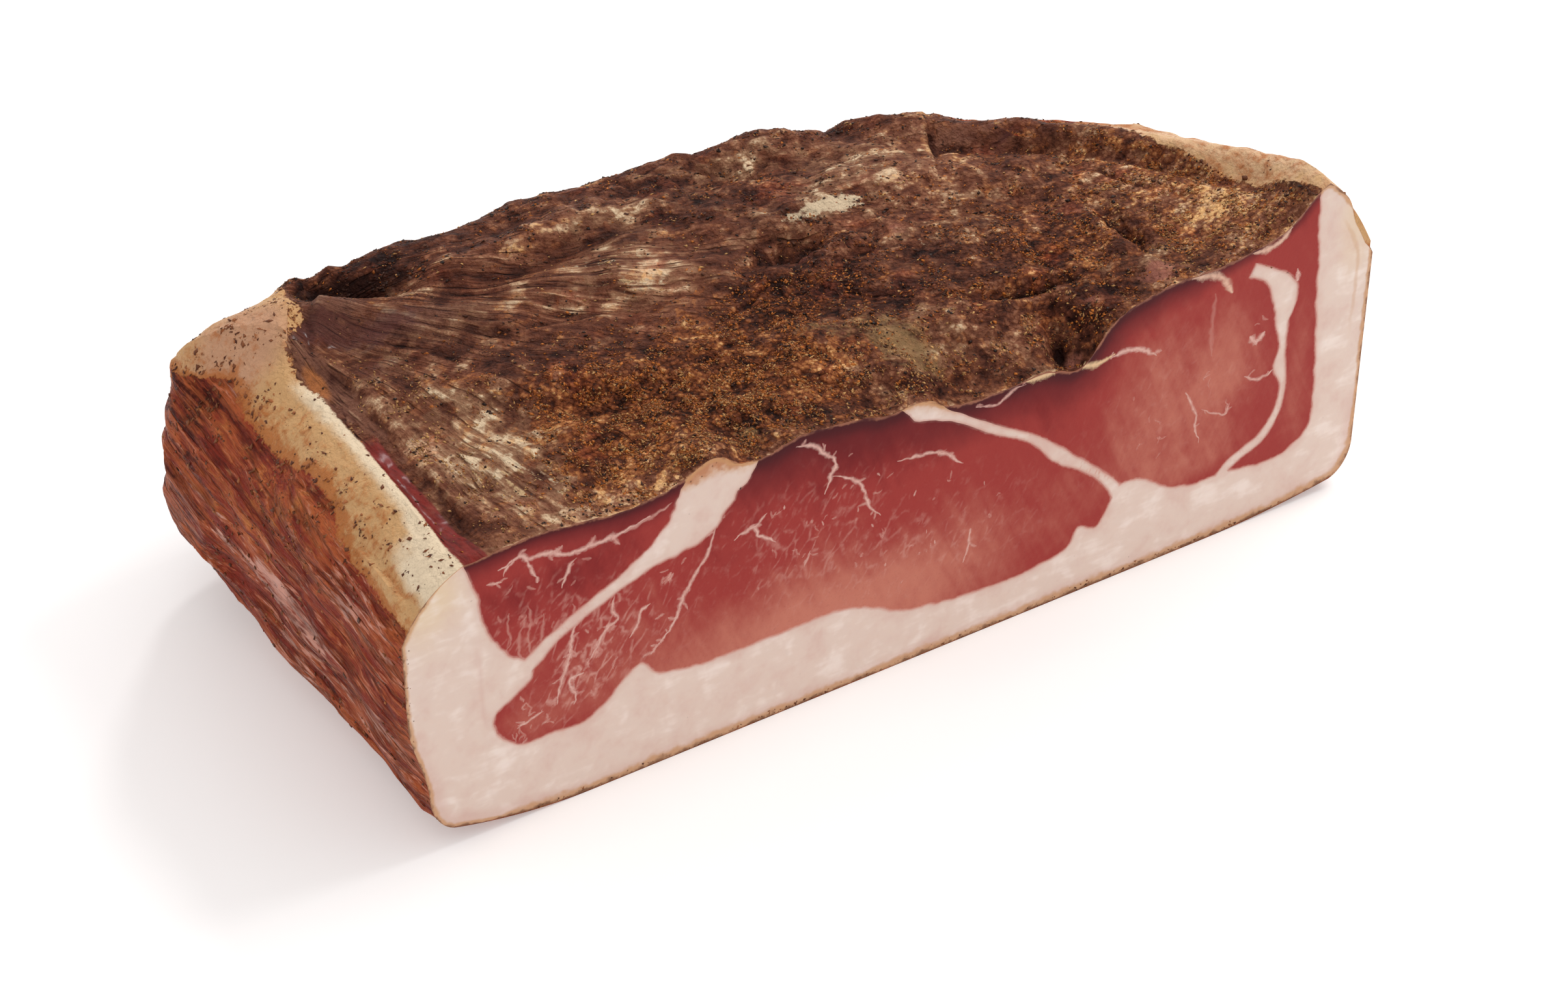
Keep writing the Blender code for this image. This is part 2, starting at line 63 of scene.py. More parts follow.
def smooth(keys, at):
    # values between (place, value...) keys, on a soft curve through them
    table = np.array(keys, float)
    place, value = table[:, 0], table[:, 1:]
    slope = np.gradient(value, place, axis=0)
    at = np.clip(np.asarray(at, float), place[0], place[-1])
    i = np.clip(np.searchsorted(place, at, side="right") - 1, 0, len(place) - 2)
    step = (place[i + 1] - place[i])[..., None]
    t = ((at - place[i]) / (place[i + 1] - place[i]))[..., None]
    out = (2 * t**3 - 3 * t**2 + 1) * value[i] + (t**3 - 2 * t**2 + t) * step * slope[i]
    out += (3 * t**2 - 2 * t**3) * value[i + 1] + (t**3 - t**2) * step * slope[i + 1]
    return out[..., 0] if value.shape[1] == 1 else out


def ramp(low, high, at):
    t = np.clip((np.asarray(at, float) - low) / (high - low), 0, 1)
    return t * t * (3 - 2 * t)


def within(steps, **point):
    # product of soft steps, each an axis, the place of none and the place of full
    return math.prod(ramp(none, full, point[axis]) for axis, none, full in steps)


def bell(at, width):
    return np.exp(-((at / width) ** 2))


def along(points):
    # share of the length walked at each point
    p = np.array(points, float)
    walked = np.concatenate([[0], np.cumsum(np.linalg.norm(np.diff(p, axis=0), axis=1))])
    return walked / walked[-1]


def unit(vectors):
    return vectors / np.maximum(np.linalg.norm(vectors, axis=-1, keepdims=True), 1e-9)


def rough(x, y, z, size, seed=0.0):
    # soft noise between about -1 and 1
    return np.array([
        noise.noise(Vector((a / size + seed, b / size - seed, c / size + 2 * seed)))
        for a, b, c in zip(x, y, z)
    ])


def layered(layers, x, y, z):
    # soft noise in several layers, each a height, a size and a seed
    return sum(high * rough(x, y, z, size, seed) for high, size, seed in layers)


def inRuns(points, run=4000):
    # points in runs, so that the tables of distances stay small
    return np.array_split(points, max(1, len(points) // run))


def nearLine(a, b, line):
    # distance of points (a, b) from a line of points
    start, way = line[:-1], line[1:] - line[:-1]
    size = np.maximum((way**2).sum(1), 1e-8)
    far = []
    for run in inRuns(np.stack([a, b], 1)):
        off = run[:, None] - start[None]
        t = np.clip((off * way).sum(2) / size, 0, 1)
        far.append(np.sqrt(((off - t[..., None] * way) ** 2).sum(2)).min(1))
    return np.concatenate(far)


def patches(spots, a, b):
    # sum of soft oval spots: (centre a, centre b, half length, half width, turn in degrees, amount)
    total = 0 * a
    for ca, cb, length, width, turn, amount in spots:
        t = math.radians(turn)
        run = (a - ca) * math.cos(t) + (b - cb) * math.sin(t)
        side = (b - cb) * math.cos(t) - (a - ca) * math.sin(t)
        total += amount * np.exp(-((run / length) ** 2) - (side / width) ** 2)
    return total


def cover(spots, a, b, most=1.0):
    return np.clip(patches(spots, a, b), 0, most)


# The form of the ham, from the same sizes as its solids

ham = dict(
    cutLength=269,
    steps=((288, 144, 84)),
    lowShare=3 / 12, topShare=4 / 12,      # of the wall's steps, those round its foot and its top edge
    plan=[
        (-2, 0), (-2, 40), (-4, 80), (-6.2, 105), (-5.7, 118), (1, 127.5), (17, 132), (42, 132.5),
        (70, 132), (98, 134.5), (130, 131.5), (160, 127.5), (188, 120.5), (211, 110), (233, 93.5),
        (249, 72.5), (260, 48), (266.5, 22), (267, 0),
    ],
    backLeft=5, backRight=15,              # the plan points where the sides turn into the back
    planStep=0.004, planSteps=241,
    scallop=dict(depth=1.6, length=27, drift=2, driftBy=0.031, fade=0.08),
    # place round the plan, inward, down, how much the edge is a straight bevel
    topEdge=[
        (0, 16, 16, 0.5), (0.1, 18, 18, 0.5), (0.2, 29, 29, 0.5), (0.26, 27, 31.5, 0.3), (0.34, 18, 22, 0),
        (0.46, 16, 20, 0), (0.66, 14, 19, 0), (0.8, 13, 20, 0.2), (0.92, 13, 22, 0.5), (1, 16, 24, 0.85),
    ],
    lowEdge=[
        (0, 6, 9), (0.21, 8, 12), (0.27, 10, 18), (0.5, 16, 22), (0.8, 14, 20), (0.9, 9, 13), (1, 7, 9),
    ],
    sideLean=4, leastDepth=40.35,
    cutTop=[
        (0, 78), (14, 78), (31, 79), (61, 77), (70, 79), (77, 82), (85, 77.5), (102, 79), (116, 77.5),
        (124, 75.5), (133, 76), (142, 71.5), (158, 70.5), (168, 71), (180, 69), (187, 77), (201, 82),
        (224, 83), (240, 87), (249, 94.5), (254, 96.5), (280, 96.5),
    ],
    cutReach=24,
    crownLine=[(0, 76.5), (20, 77), (60, 79), (130, 80), (280, 80)],
    rimLine=[(0, 96.5), (16, 92.5), (40, 86), (60, 82), (80, 79), (105, 76.5), (150, 75.5)],
    backFall=dict(height=3.5, width=45, edge=10, where=[("x", 30, 90), ("y", 0, 80)]),
    rim=dict(start=0.68, full=0.77, inward=13.5, width=4.5, height=3.0, slope=50),
    groove=dict(depth=3.0, inward=21.5, width=3.5),
    strip=dict(depth=1.8, where=[("past", 12.5, 15.5), ("y", 4, 16), ("past", 22.5, 19.5)]),
    bandEnd=(16, 24),
    cragShare=0.25, cragFront=6,
    crustWaves=[(1.1, 12.5, 0.0), (0.55, 6.25, 3.7)],
    rindWaves=[(1.1, 16, 1.3)], rindGrooves=[(0.9, 8.5, 5.1)], grooveRun=0.25,
    rindFront=12,
    # how far in the foot curls up, and how high; behind, how far back it starts and is full
    curl=dict(left=(46, 8.5), right=(50, 4.5), back=(40, 6.0), backFrom=(47.075, 100.875)),
)
# Relief of the crust: x, y, half length, half width, turn in degrees, height
crags = dict(
    hollow=(139, 66, 13, 5.5, 8, -5.5), crumb=(147, 58, 8, 5, 20, 3), crumbLeft=(131, 56, 6, 4.5, 0, 2.2),
    palePatch=(148, 78, 10, 4, 15, 2), cleft=(44, 112, 16, 5, -38, -6),
    cleftLip=(36, 103, 18, 4.5, -38, 2.8), leftHollow=(32, 92, 9, 12, 10, -3.5),
    leftLump=(21, 98, 5, 9, 5, 2.2), backFold=(86, 106, 30, 5.5, 6, 2.4),
    backFoldDip=(92, 96, 32, 5, 4, -2.4), paleCrest=(112, 70, 22, 6, -22, 2.2),
    crestDip=(88, 70, 14, 5, -20, -2.4), middleRidge=(58, 52, 34, 6, -24, 2),
    middleDip=(60, 36, 30, 6, -18, -1.8), yellowSwell=(120, 28, 10, 10, -30, 2.6),
    greenSwell=(137, 14, 8, 13, -8, 2), crackLong=(178, 22, 12, 2.2, -14, -4.2),
    crackShort=(177, 6, 2.2, 8, -18, -3.6), crackRight=(212, 28, 2.4, 12, -4, -3.6),
    crackLip=(206, 28, 4, 11, -4, 2), rightDip=(196, 58, 18, 12, -28, -2.6),
    greySwell=(180, 78, 16, 9, -20, 2.2), backDip=(152, 104, 24, 6, -14, -2.4),
    backSwell=(160, 116, 12, 7, -20, 2.2), backNotch=(182, 113, 5, 8, 0, -3.4),
    backRise=(200, 104, 14, 8, -32, 2.8),
)
planAt = along(ham["plan"])
planKeys = [(s, *p) for s, p in zip(planAt, ham["plan"])]
leftEnd, rightEnd = planAt[ham["backLeft"]], planAt[ham["backRight"]]


def plan(s):
    # plan point, and the direction straight in from it
    s = np.asarray(s, float)
    here = smooth(planKeys, s)
    behind, ahead = np.maximum(s - ham["planStep"], 0), np.minimum(s + ham["planStep"], 1)
    way = smooth(planKeys, ahead) - smooth(planKeys, behind)
    inward = unit(np.stack([way[..., 1], -way[..., 0]], -1))
    wave = ham["scallop"]
    drift = wave["drift"] * np.sin(wave["driftBy"] * here[..., 0])
    waves = wave["depth"] * np.sin(2 * math.pi * here[..., 0] / wave["length"] + drift)
    waves *= ramp(leftEnd, leftEnd + wave["fade"], s) * ramp(rightEnd, rightEnd - wave["fade"], s)
    return here + inward * waves[..., None], inward


def planInside(u, v):
    # point of the plan at a share of the way across it and of the way back from the cut
    left, right = plan(v * leftEnd)[0], plan(1 - v * (1 - rightEnd))[0]
    back = plan(leftEnd + u * (rightEnd - leftEnd))[0]
    frontLeft, frontRight, backLeft, backRight = plan([0, 1, leftEnd, rightEnd])[0]
    u, v = u[:, None], v[:, None]
    return (
        (1 - v) * ((1 - u) * frontLeft + u * frontRight) + v * back + (1 - u) * left + u * right
        - (1 - u) * ((1 - v) * frontLeft + v * backLeft) - u * ((1 - v) * frontRight + v * backRight)
    )


def nearestOnPlan(x, y):
    # distance in from the plan's edge, and the place on it
    s = np.linspace(0, 1, ham["planSteps"])
    edge = plan(s)[0]
    inside, place = [], []
    for run in inRuns(np.stack([x, y], 1)):
        far = np.hypot(run[:, :1] - edge[None, :, 0], run[:, 1:] - edge[None, :, 1])
        inside.append(far.min(1))
        place.append(s[far.argmin(1)])
    return np.concatenate(inside), np.concatenate(place)


def topHeight(x, y):
    inside, place = nearestOnPlan(x, y)
    rimSize, fallSize, groove, strip = ham["rim"], ham["backFall"], ham["groove"], ham["strip"]
    rim = ramp(rimSize["start"], rimSize["full"], place)
    fall = fallSize["height"] * ramp(fallSize["width"], fallSize["edge"], inside)
    crown = smooth(ham["crownLine"], x) - fall * within(fallSize["where"], x=x, y=y)
    rise = rim * ramp(rimSize["slope"], rimSize["inward"], inside)
    crown = crown * (1 - rise) + (smooth(ham["rimLine"], y) - rimSize["height"]) * rise
    crown += rimSize["height"] * rim * bell(inside - rimSize["inward"], rimSize["width"])
    crown -= groove["depth"] * rim * bell(inside - groove["inward"], groove["width"])
    height = crown + (smooth(ham["cutTop"], x) - crown) * ramp(ham["cutReach"], 0, y)
    onCrust = ramp(*ham["bandEnd"], x) * (1 - rim * ramp(*ham["bandEnd"][::-1], inside))
    bare = within(strip["where"], past=x - smooth(leanSize["leftEdge"], y), y=y)
    crust = patches(crags.values(), x, y) + layered(ham["crustWaves"], x, y, 0 * x)
    crust *= (ham["cragShare"] + (1 - ham["cragShare"]) * onCrust) * ramp(0, ham["cragFront"], y)
    return height - strip["depth"] * bare + crust


def underHeight(x, y):
    inside = nearestOnPlan(x, y)[0]
    left, right, back, backFrom = (ham["curl"][k] for k in ("left", "right", "back", "backFrom"))
    rise = left[1] * np.clip(1 - (x - ham["plan"][0][0]) / left[0], 0, 1) ** 2
    rise += right[1] * np.clip(1 - (ham["cutLength"] - x) / right[0], 0, 1) ** 2
    behind = np.clip(1 - inside / back[0], 0, 1) * ramp(*backFrom, y)
    return rise + back[1] * behind**2


def edgeTurn(turn, bevel):
    straight = turn / (0.5 * math.pi)
    inward = (1 - np.cos(turn)) * (1 - bevel) + straight * bevel
    short = (1 - np.sin(turn)) * (1 - bevel) + (1 - straight) * bevel
    return inward, short


def placeSkin(u, v, w):
    # maps the surface of a unit box to the surface of the ham
    low, high = ham["lowShare"], 1 - ham["topShare"]
    turnLow = 0.5 * math.pi * np.clip(1 - w / low, 0, 1)
    turnHigh = 0.5 * math.pi * np.clip((w - high) / (1 - high), 0, 1)
    middle = np.clip((w - low) / (high - low), 0, 1)
    places = dict(
        left=v * leftEnd, right=1 - v * (1 - rightEnd), back=leftEnd + u * (rightEnd - leftEnd),
    )
    stepIn, down, up = {}, {}, {}
    for side, s in places.items():
        top, foot = smooth(ham["topEdge"], s), smooth(ham["lowEdge"], s)
        topIn, topShort = edgeTurn(turnHigh, top[:, 2])
        footIn, footShort = edgeTurn(turnLow, 0)
        belly = ham["sideLean"] * (side == "left") * ramp(0.5, 0.0, middle) * ramp(leftEnd, 0.0, s)
        stepIn[side] = top[:, 0] * topIn + foot[:, 0] * footIn + belly
        down[side] = top[:, 1] * np.where(w > high, topShort, 1)
        up[side] = foot[:, 1] * np.where(w < low, footShort, 1)
    fromLeft, fromRight = stepIn["left"] / ham["cutLength"], stepIn["right"] / ham["cutLength"]
    innerU = fromLeft + (1 - fromRight - fromLeft) * u
    innerV = v * (1 - stepIn["back"] / np.maximum(plan(places["back"])[0][:, 1], ham["leastDepth"]))
    x, y = planInside(innerU, innerV).T
    y = np.where(v == 0, 0.0, y)
    roof, floor = topHeight(x, y), underHeight(x, y)
    top = roof - np.where(v == 1, down["back"], down["left"] * (1 - u) + down["right"] * u)
    foot = floor + np.where(v == 1, up["back"], up["left"] * (1 - u) + up["right"] * u)
    z = np.where(w < low, foot, np.where(w > high, top, foot + (top - foot) * middle))
    swell = layered(ham["rindWaves"], x, y, z)
    swell += layered(ham["rindGrooves"], ham["grooveRun"] * x, ham["grooveRun"] * y, z)
    swell *= ((w > 0) & (w < 1) & (v > 0)) * ramp(0, ham["rindFront"], y)
    side = np.where(u == 0, places["left"], np.where(u == 1, places["right"], places["back"]))
    inward = plan(side)[1]
    return np.stack([x - inward[:, 0] * swell, y - inward[:, 1] * swell, z], 1)


def boxSkin(steps):
    # skin of a box in whole steps: its corners, and quads that face out
    index, corners, faces = {}, [], []

    def corner(ijk):
        if ijk not in index:
            index[ijk] = len(corners)
            corners.append(ijk)
        return index[ijk]

    for axis in range(3):
        a, b = (axis + 1) % 3, (axis + 2) % 3
        for level in (0, steps[axis]):
            for p in range(steps[a]):
                for q in range(steps[b]):
                    ring = []
                    for dp, dq in ((0, 0), (1, 0), (1, 1), (0, 1)):
                        ijk = [0, 0, 0]
                        ijk[axis], ijk[a], ijk[b] = level, p + dp, q + dq
                        ring.append(corner(tuple(ijk)))
                    faces.append(ring if level else ring[::-1])
    return np.array(corners) / np.array(steps), faces


# Where the lean lies inside

leanSize = dict(
    left=[(14, 130), (14, 78), (17, 68), (18, 61), (20, 55), (23.5, 49), (29, 43.5)],
    under=[
        (29.5, 41), (25, 36.5), (20.5, 34), (19, 30.5), (20.5, 26.5), (25.5, 22), (34, 21.5), (42, 21),
        (47.5, 24), (53, 29), (57.5, 31.5), (61, 27.5), (69, 25), (85, 24), (100, 24), (113, 23.5),
        (121, 20.5), (128, 16.5), (140, 14), (155, 12.5), (169, 13), (178, 15.5), (181, 20), (186, 18),
        (189, 21.5), (193, 28), (200, 27), (206, 22.5), (214, 19.5), (226, 19), (239, 17), (246, 18),
    ],
    right=[(251.5, 23), (252.5, 35), (251.5, 50), (250, 71), (248.5, 92), (248, 130)],
    deepUnder=21, deepWaves=[(3.0, 34, 7.7)], deepWall=dict(fall=3.4, lean=0.12),
    deepFrom=50, middle=100,
    leftEdge=[
        (-10, 0), (0, 0), (22, 2), (50, 3), (78, 4.5), (90, 3), (101, 7), (112, 14), (124, 21), (150, 34),
    ],
    rightEdge=[
        (-10, 0), (0, 0), (16, -6), (40, -10), (60, -16), (75, -25), (92, -38), (104, -43), (118, -40),
        (150, -30),
    ],
    front=-6, back=150,
    depthStep=4.5, outlineStep=0.8,
    ragged=[(0.50, 4.2, 11.0), (0.28, 1.8, 4.4)], raggedRun=0.4,
)
seams = dict(
    # how deep each seam of fat runs in, and its spine at the cut: x, z, half width
    thick=dict(depth=36, spine=[
        (18, 39.5, 3), (27, 42.5, 2.2), (35, 48.5, 1.6), (45, 53.5, 1.6), (54, 57.5, 1.8), (63, 61.5, 3.6),
        (71, 66, 6.8), (76, 73, 8), (79.5, 80, 10), (80.5, 90, 10.5),
    ]),
    slanted=dict(depth=26, spine=[
        (194, 18, 1.8), (191.3, 27.5, 1.5), (187, 33, 1.2), (181.5, 38.3, 1.2), (176.5, 42.2, 1.7),
        (173.5, 44.8, 1.9), (167, 51.5, 1.1), (154, 60, 1.2), (143.5, 67.5, 1.3), (138.5, 70.5, 1.9),
        (134.5, 73.5, 3.6), (131.5, 78.5, 5), (129.5, 85, 5.4),
    ]),
    upright=dict(depth=30, spine=[
        (219.5, 10, 2.2), (226.5, 20.5, 1.4), (237.5, 26.5, 1.3), (241.8, 35, 0.9), (242.2, 40, 0.8),
        (240.4, 46, 1.9), (240.8, 51.5, 1), (240.2, 59.5, 2.2), (240.5, 64.5, 3.4), (239.2, 69.5, 3.7),
        (236.2, 73.5, 2.2), (232.5, 76.2, 1.7), (229, 78.2, 2),
    ]),
)
seamSize = dict(
    front=-4, step=1.0, least=6, ringCount=12,
    uneven=0.22, unevenSize=3.0, unevenSeeds=(2.2, 6.1), unevenRun=0.4,
    # share of the depth, of the width there, and of the spine's length
    rings=[(0.0, 1.0, 1.0), (0.20, 0.97, 0.84), (0.45, 0.86, 0.76), (0.75, 0.62, 0.70), (1.0, 0.30, 0.66)],
)


def leanRings():
    # outlines of the lean from before the cut to past the back, with ragged edges near the cut
    size = leanSize
    outline = np.array(size["left"] + size["under"] + size["right"])
    first, last = len(size["left"]) - 1, len(size["left"]) + len(size["under"])
    count = np.arange(last - first + 1)
    deepX = np.maximum.accumulate(outline[first:last + 1, 0]) + size["deepWall"]["lean"] * count
    deepWall = outline[first, 1] - size["deepWall"]["fall"] * count[1:-1]
    place = along(outline)
    length = np.linalg.norm(np.diff(outline, axis=0), axis=1).sum()
    fine = np.linspace(0, 1, round(length / size["outlineStep"]))
    depths = [size["front"], *np.linspace(0, size["back"], round(size["back"] / size["depthStep"]))]
    rings = []
    for y in depths:
        deep = ramp(0, size["deepFrom"], y)
        x, z = outline.T.copy()
        x[first:last + 1] = x[first:last + 1] * (1 - deep) + deepX * deep
        under = slice(first + 1, last)
        flat = 0 * x[under]
        level = size["deepUnder"] + layered(size["deepWaves"], x[under], flat + y, flat)
        z[under] = z[under] * (1 - deep) + np.maximum(level, deepWall) * deep
        share = ramp(size["middle"], ham["cutLength"], x)
        x += smooth(size["leftEdge"], y) * (1 - share) + smooth(size["rightEdge"], y) * share
        line = smooth(np.column_stack([place, x, z]), fine)
        way = unit(np.gradient(line, axis=0))
        behind = 0 * fine + size["raggedRun"] * max(y, 0)
        for high, wide, seed in size["ragged"]:
            line[:, 0] += high * way[:, 1] * rough(*line.T, behind, wide, seed)
            line[:, 1] -= high * way[:, 0] * rough(*line.T, behind, wide, seed)
        rings.append(np.column_stack([line[:, 0], 0 * fine + y, line[:, 1]]))
    return rings


def seamRings(seam):
    # a band of fat along its spine at the cut that thins out with depth
    size, spine = seamSize, seam["spine"]
    keys = [(s, *p) for s, p in zip(along([p[:2] for p in spine]), spine)]
    length = sum(math.dist(a[:2], b[:2]) for a, b in zip(spine, spine[1:]))
    count = max(size["least"], round(length / size["step"]))
    rings = []
    for share in (size["front"] / seam["depth"], *np.linspace(0, 1, size["ringCount"])):
        wide, reach = smooth(size["rings"], max(share, 0.0))
        line = smooth(keys, np.linspace(0, reach, count))
        way = unit(np.gradient(line[:, :2], axis=0))
        across = np.stack([way[:, 1], -way[:, 0]], 1)
        level = 0 * line[:, 0] + size["unevenRun"] * max(share, 0) * seam["depth"]
        sides = []
        for seed in size["unevenSeeds"]:
            uneven = 1 + layered([(size["uneven"], size["unevenSize"], seed)], *line[:, :2].T, level)
            sides.append(line[:, 2:] * wide * uneven[:, None] * across)
        around = np.concatenate([line[:, :2] + sides[0], (line[:, :2] - sides[1])[::-1]])
        depth = 0 * around[:, 0] + share * seam["depth"]
        rings.append(np.column_stack([around[:, 0], depth, around[:, 1]]))
    return rings


def linked(name, data):
    thing = bpy.data.objects.new(name, data)
    bpy.context.scene.collection.objects.link(thing)
    return thing


def meshFrom(name, points, faces):
    # an object from points in mm
    mesh = bpy.data.meshes.new(name)
    mesh.from_pydata((np.asarray(points) * mm).tolist(), [], faces)
    mesh.update()
    return linked(name, mesh)


def readAll(items, name, width=3, kind=float):
    # one value of each point, edge or face, as rows
    values = np.zeros(len(items) * width, kind)
    items.foreach_get(name, values)
    return values.reshape(-1, width)


def pointsOf(thing):
    return readAll(thing.data.vertices, "co") / mm


def editMesh(thing, change):
    # works on a piece's mesh as a bmesh
    bm = bmesh.new()
    bm.from_mesh(thing.data)
    change(bm)
    bm.to_mesh(thing.data)
    bm.free()


def loft(name, rings):
    count = len(rings[0])
    faces = [list(range(count)), list(range(count * len(rings) - 1, count * (len(rings) - 1) - 1, -1))]
    for r in range(len(rings) - 1):
        for i in range(count):
            j = (i + 1) % count
            faces.append([r * count + j, r * count + i, (r + 1) * count + i, (r + 1) * count + j])
    thing = meshFrom(name, np.concatenate(rings), faces)
    editMesh(thing, lambda bm: bmesh.ops.recalc_face_normals(bm, faces=bm.faces))
    return thing


def combine(thing, tools, operation):
    # boolean with each tool in turn, applied
    for tool in tools:
        modifier = thing.modifiers.new(tool.name, "BOOLEAN")
        modifier.operation = operation
        modifier.object = tool
        modifier.solver = "MANIFOLD"
    bpy.context.view_layer.update()
    made = bpy.data.meshes.new_from_object(thing.evaluated_get(bpy.context.evaluated_depsgraph_get()))
    thing.modifiers.clear()
    old, thing.data = thing.data, made
    bpy.data.meshes.remove(old)
    print(thing.name, operation, len(made.polygons), "faces")


# Where the crust begins on the left and where the rim ends it on the right: y, x

crustEdge = dict(
    left=[
        (-5, 14.2), (8, 14.3), (23, 16), (37, 16.3), (47, 17), (56, 18), (70, 18.2), (79, 19), (87, 18.2),
        (95, 18.5), (99, 20.5), (103, 25), (108, 28), (116, 28.5), (130, 34),
    ],
    right=[
        (-5, 248.5), (2, 248), (15, 247), (27, 245), (39, 244), (50, 242), (59, 240), (70, 238), (77, 236),
        (88, 229.5), (98, 220.5), (108, 208.5), (116, 197), (123, 184), (130, 172),
    ],
)


def crustReach(x, y):
    # how far a point lies past the left edge of the crust and short of its right edge
    return x - smooth(crustEdge["left"], y), smooth(crustEdge["right"], y) - x


# Fine relief on the skin: layers are a height, a size and a seed

relief = dict(
    fan=dict(centre=(20, 122), arm=80, run=0.12, layers=[(0.60, 3.0, 2.0)]),
    fanSpots=[
        (60, 88, 45, 22, -8, 1), (100, 75, 24, 22, -30, 1), (36, 30, 18, 34, -4, 1),
        (190, 90, 30, 20, -30, 0.3),
    ],
    # smooth tissue between the crust and the band, and round the corner where the creases meet
    smoothSpots=[
        (21.2, 80, 4.5, 20, 0, 1), (42, 90, 16, 7, -12, 0.55), (34, 104, 9, 7, 0, 0.9),
        (22.5, 48, 1.8, 18, 0, 0.5), (205, 92, 14, 6, -30, 0.6), (60, 86, 16, 6, -6, 0.35),
    ],
    crumbs=[(1.20, 8.5, 8.1), (0.55, 3.6, 2.9)],
    crumbShare=dict(everywhere=0.50, spots=0.6, fan=-0.45, smooth=0.8, lowest=-0.5),
    crumbSpots=[
        (85, 25, 40, 22, 0, 0.7), (142, 60, 24, 18, 0, 1), (130, 108, 60, 14, 0, 0.8),
        (200, 40, 26, 40, 0, 0.5),
    ],
    band=[(0.50, 6.0, 3.3), (0.25, 2.6, 9.4)],
    crustSoft=(-0.5, 2.5), front=4, wallShare=0.6,
    rind=dict(creases=[(1.05, 5.6, 4.0), (0.30, 1.9, 1.7)], sharp=2.5, run=0.10, slant=-0.09,
              facets=[(1.1, 19, 9.2)], facetsFrom=(40, 90), front=6),
    flap=dict(height=2.6, where=[("z", 71.5, 72.3), ("y", 50, 30), ("z", 90, 80)]),   # a step on the right
    cut=[(0.06, 9.0, 6.6), (0.03, 3.5, 2.4)], cutIn=0.16,
    topLine=[(0.4, 2.2, 5.5)],
    crackSpots=[
        (44, 112, 15, 1.4, -38, -1), (150, 34, 9, 0.8, -40, -0.8), (120, 52, 12, 0.8, 20, -0.8),
        (165, 50, 10, 0.8, -25, -0.8), (225, 50, 0.8, 9, 12, -1), (75, 70, 16, 0.8, -12, -0.8),
    ],
)


def fanWays(x, y):
    # how far round and how far out a point lies from where the crust's creases meet
    fan = relief["fan"]
    dx, dy = x - fan["centre"][0], y - fan["centre"][1]
    return np.arctan2(dy, dx) * fan["arm"], np.hypot(dx, dy) * fan["run"]


def cutRelief(x, z):
    # how far the cut face lies in from its plane
    return relief["cutIn"] + layered(relief["cut"], x, 0 * x, z)


def addRelief(thing, box):
    # moves the skin's points along their normals; box holds each one's place on the unit box
    points, normals = pointsOf(thing), readAll(thing.data.vertices, "normal")
    x, y, z = points.T
    u, v, w = box.T
    crust = math.prod(ramp(*relief["crustSoft"], reach) for reach in crustReach(x, y))
    side, out = fanWays(x, y)
    fan = cover(relief["fanSpots"], x, y)
    share = relief["crumbShare"]
    crumb = share["everywhere"] + share["spots"] * cover(relief["crumbSpots"], x, y) + share["fan"] * fan
    crumb *= 1 - share["smooth"] * cover(relief["smoothSpots"], x, y)
    push = fan * layered(relief["fan"]["layers"], side, out, 0 * x)
    for high, size, seed in relief["crumbs"]:
        push += high * crumb * (2 * np.abs(rough(x, y, z, size, seed)) + share["lowest"])
    push += patches(relief["crackSpots"], x, y)
    push = (push * crust + (1 - crust) * layered(relief["band"], x, y, z)) * ramp(0, relief["front"], y)

    rind = relief["rind"]
    slope, run = z + rind["slant"] * y, rind["run"]
    wall = -np.abs(layered(rind["facets"], x, y, z)) * ramp(*rind["facetsFrom"], y)
    for high, size, seed in rind["creases"]:
        wall += high * (1 - rind["sharp"] * np.abs(rough(run * x, run * y, slope, size, seed)))
    onTop = w > 1 - relief["wallShare"] * ham["topShare"]
    push = np.where(onTop, push, wall * ramp(0, rind["front"], y)) * ((v > 0) & (w > 0))
    moved = points + normals * push[:, None]
    moved[:, 0] -= relief["flap"]["height"] * within(relief["flap"]["where"], y=y, z=z) * ((u == 1) & (w > 0))
    onCut = v == 0
    moved[onCut, 1] = 0.0
    inner = onCut & (u > 0) & (u < 1) & (w > 0) & (w < 1)
    moved[inner, 1] = cutRelief(x[inner], z[inner])
    ragged = onCut & (w == 1)
    moved[ragged, 2] += crust[ragged] * layered(relief["topLine"], x[ragged], y[ragged], z[ragged])
    moved[w == 0] = points[w == 0]
    thing.data.vertices.foreach_set("co", np.clip(moved, *cadCorners).ravel() * mm)
    thing.data.update()


def joinFoot(bm):
    # the flat that the ham rests on becomes one face
    resting = [f for f in bm.faces if all(v.co.z < 1e-7 for v in f.verts)]
    bmesh.ops.dissolve_faces(bm, faces=resting)


cadPoints = [v.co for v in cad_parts["fat_layer"].data.vertices if v.co.y < cadBox[0].y + 1e-5]
shift = np.array([max(p.x for p in cadPoints) - ham["plan"][-1][0] * mm, cadBox[0].y, 0.0])
cadCorners = [(np.array(p) - shift) / mm for p in cadBox]

corners, quads = boxSkin(ham["steps"])
curedLean = meshFrom("cured_lean", placeSkin(*corners.T), quads)
addRelief(curedLean, corners)
editMesh(curedLean, joinFoot)
fatAndRind = linked("fat_and_rind", curedLean.data.copy())
print("skin placed,", len(curedLean.data.vertices), "points")

room = loft("lean_room", leanRings())
bands = [loft(name + "_seam", seamRings(seam)) for name, seam in seams.items()]
combine(room, bands, "DIFFERENCE")
combine(curedLean, [room], "INTERSECT")
combine(fatAndRind, [room], "DIFFERENCE")
for tool in [room, *bands]:
    bpy.data.objects.remove(tool)
print("lean and fat parted")


# Values on the points that the materials read

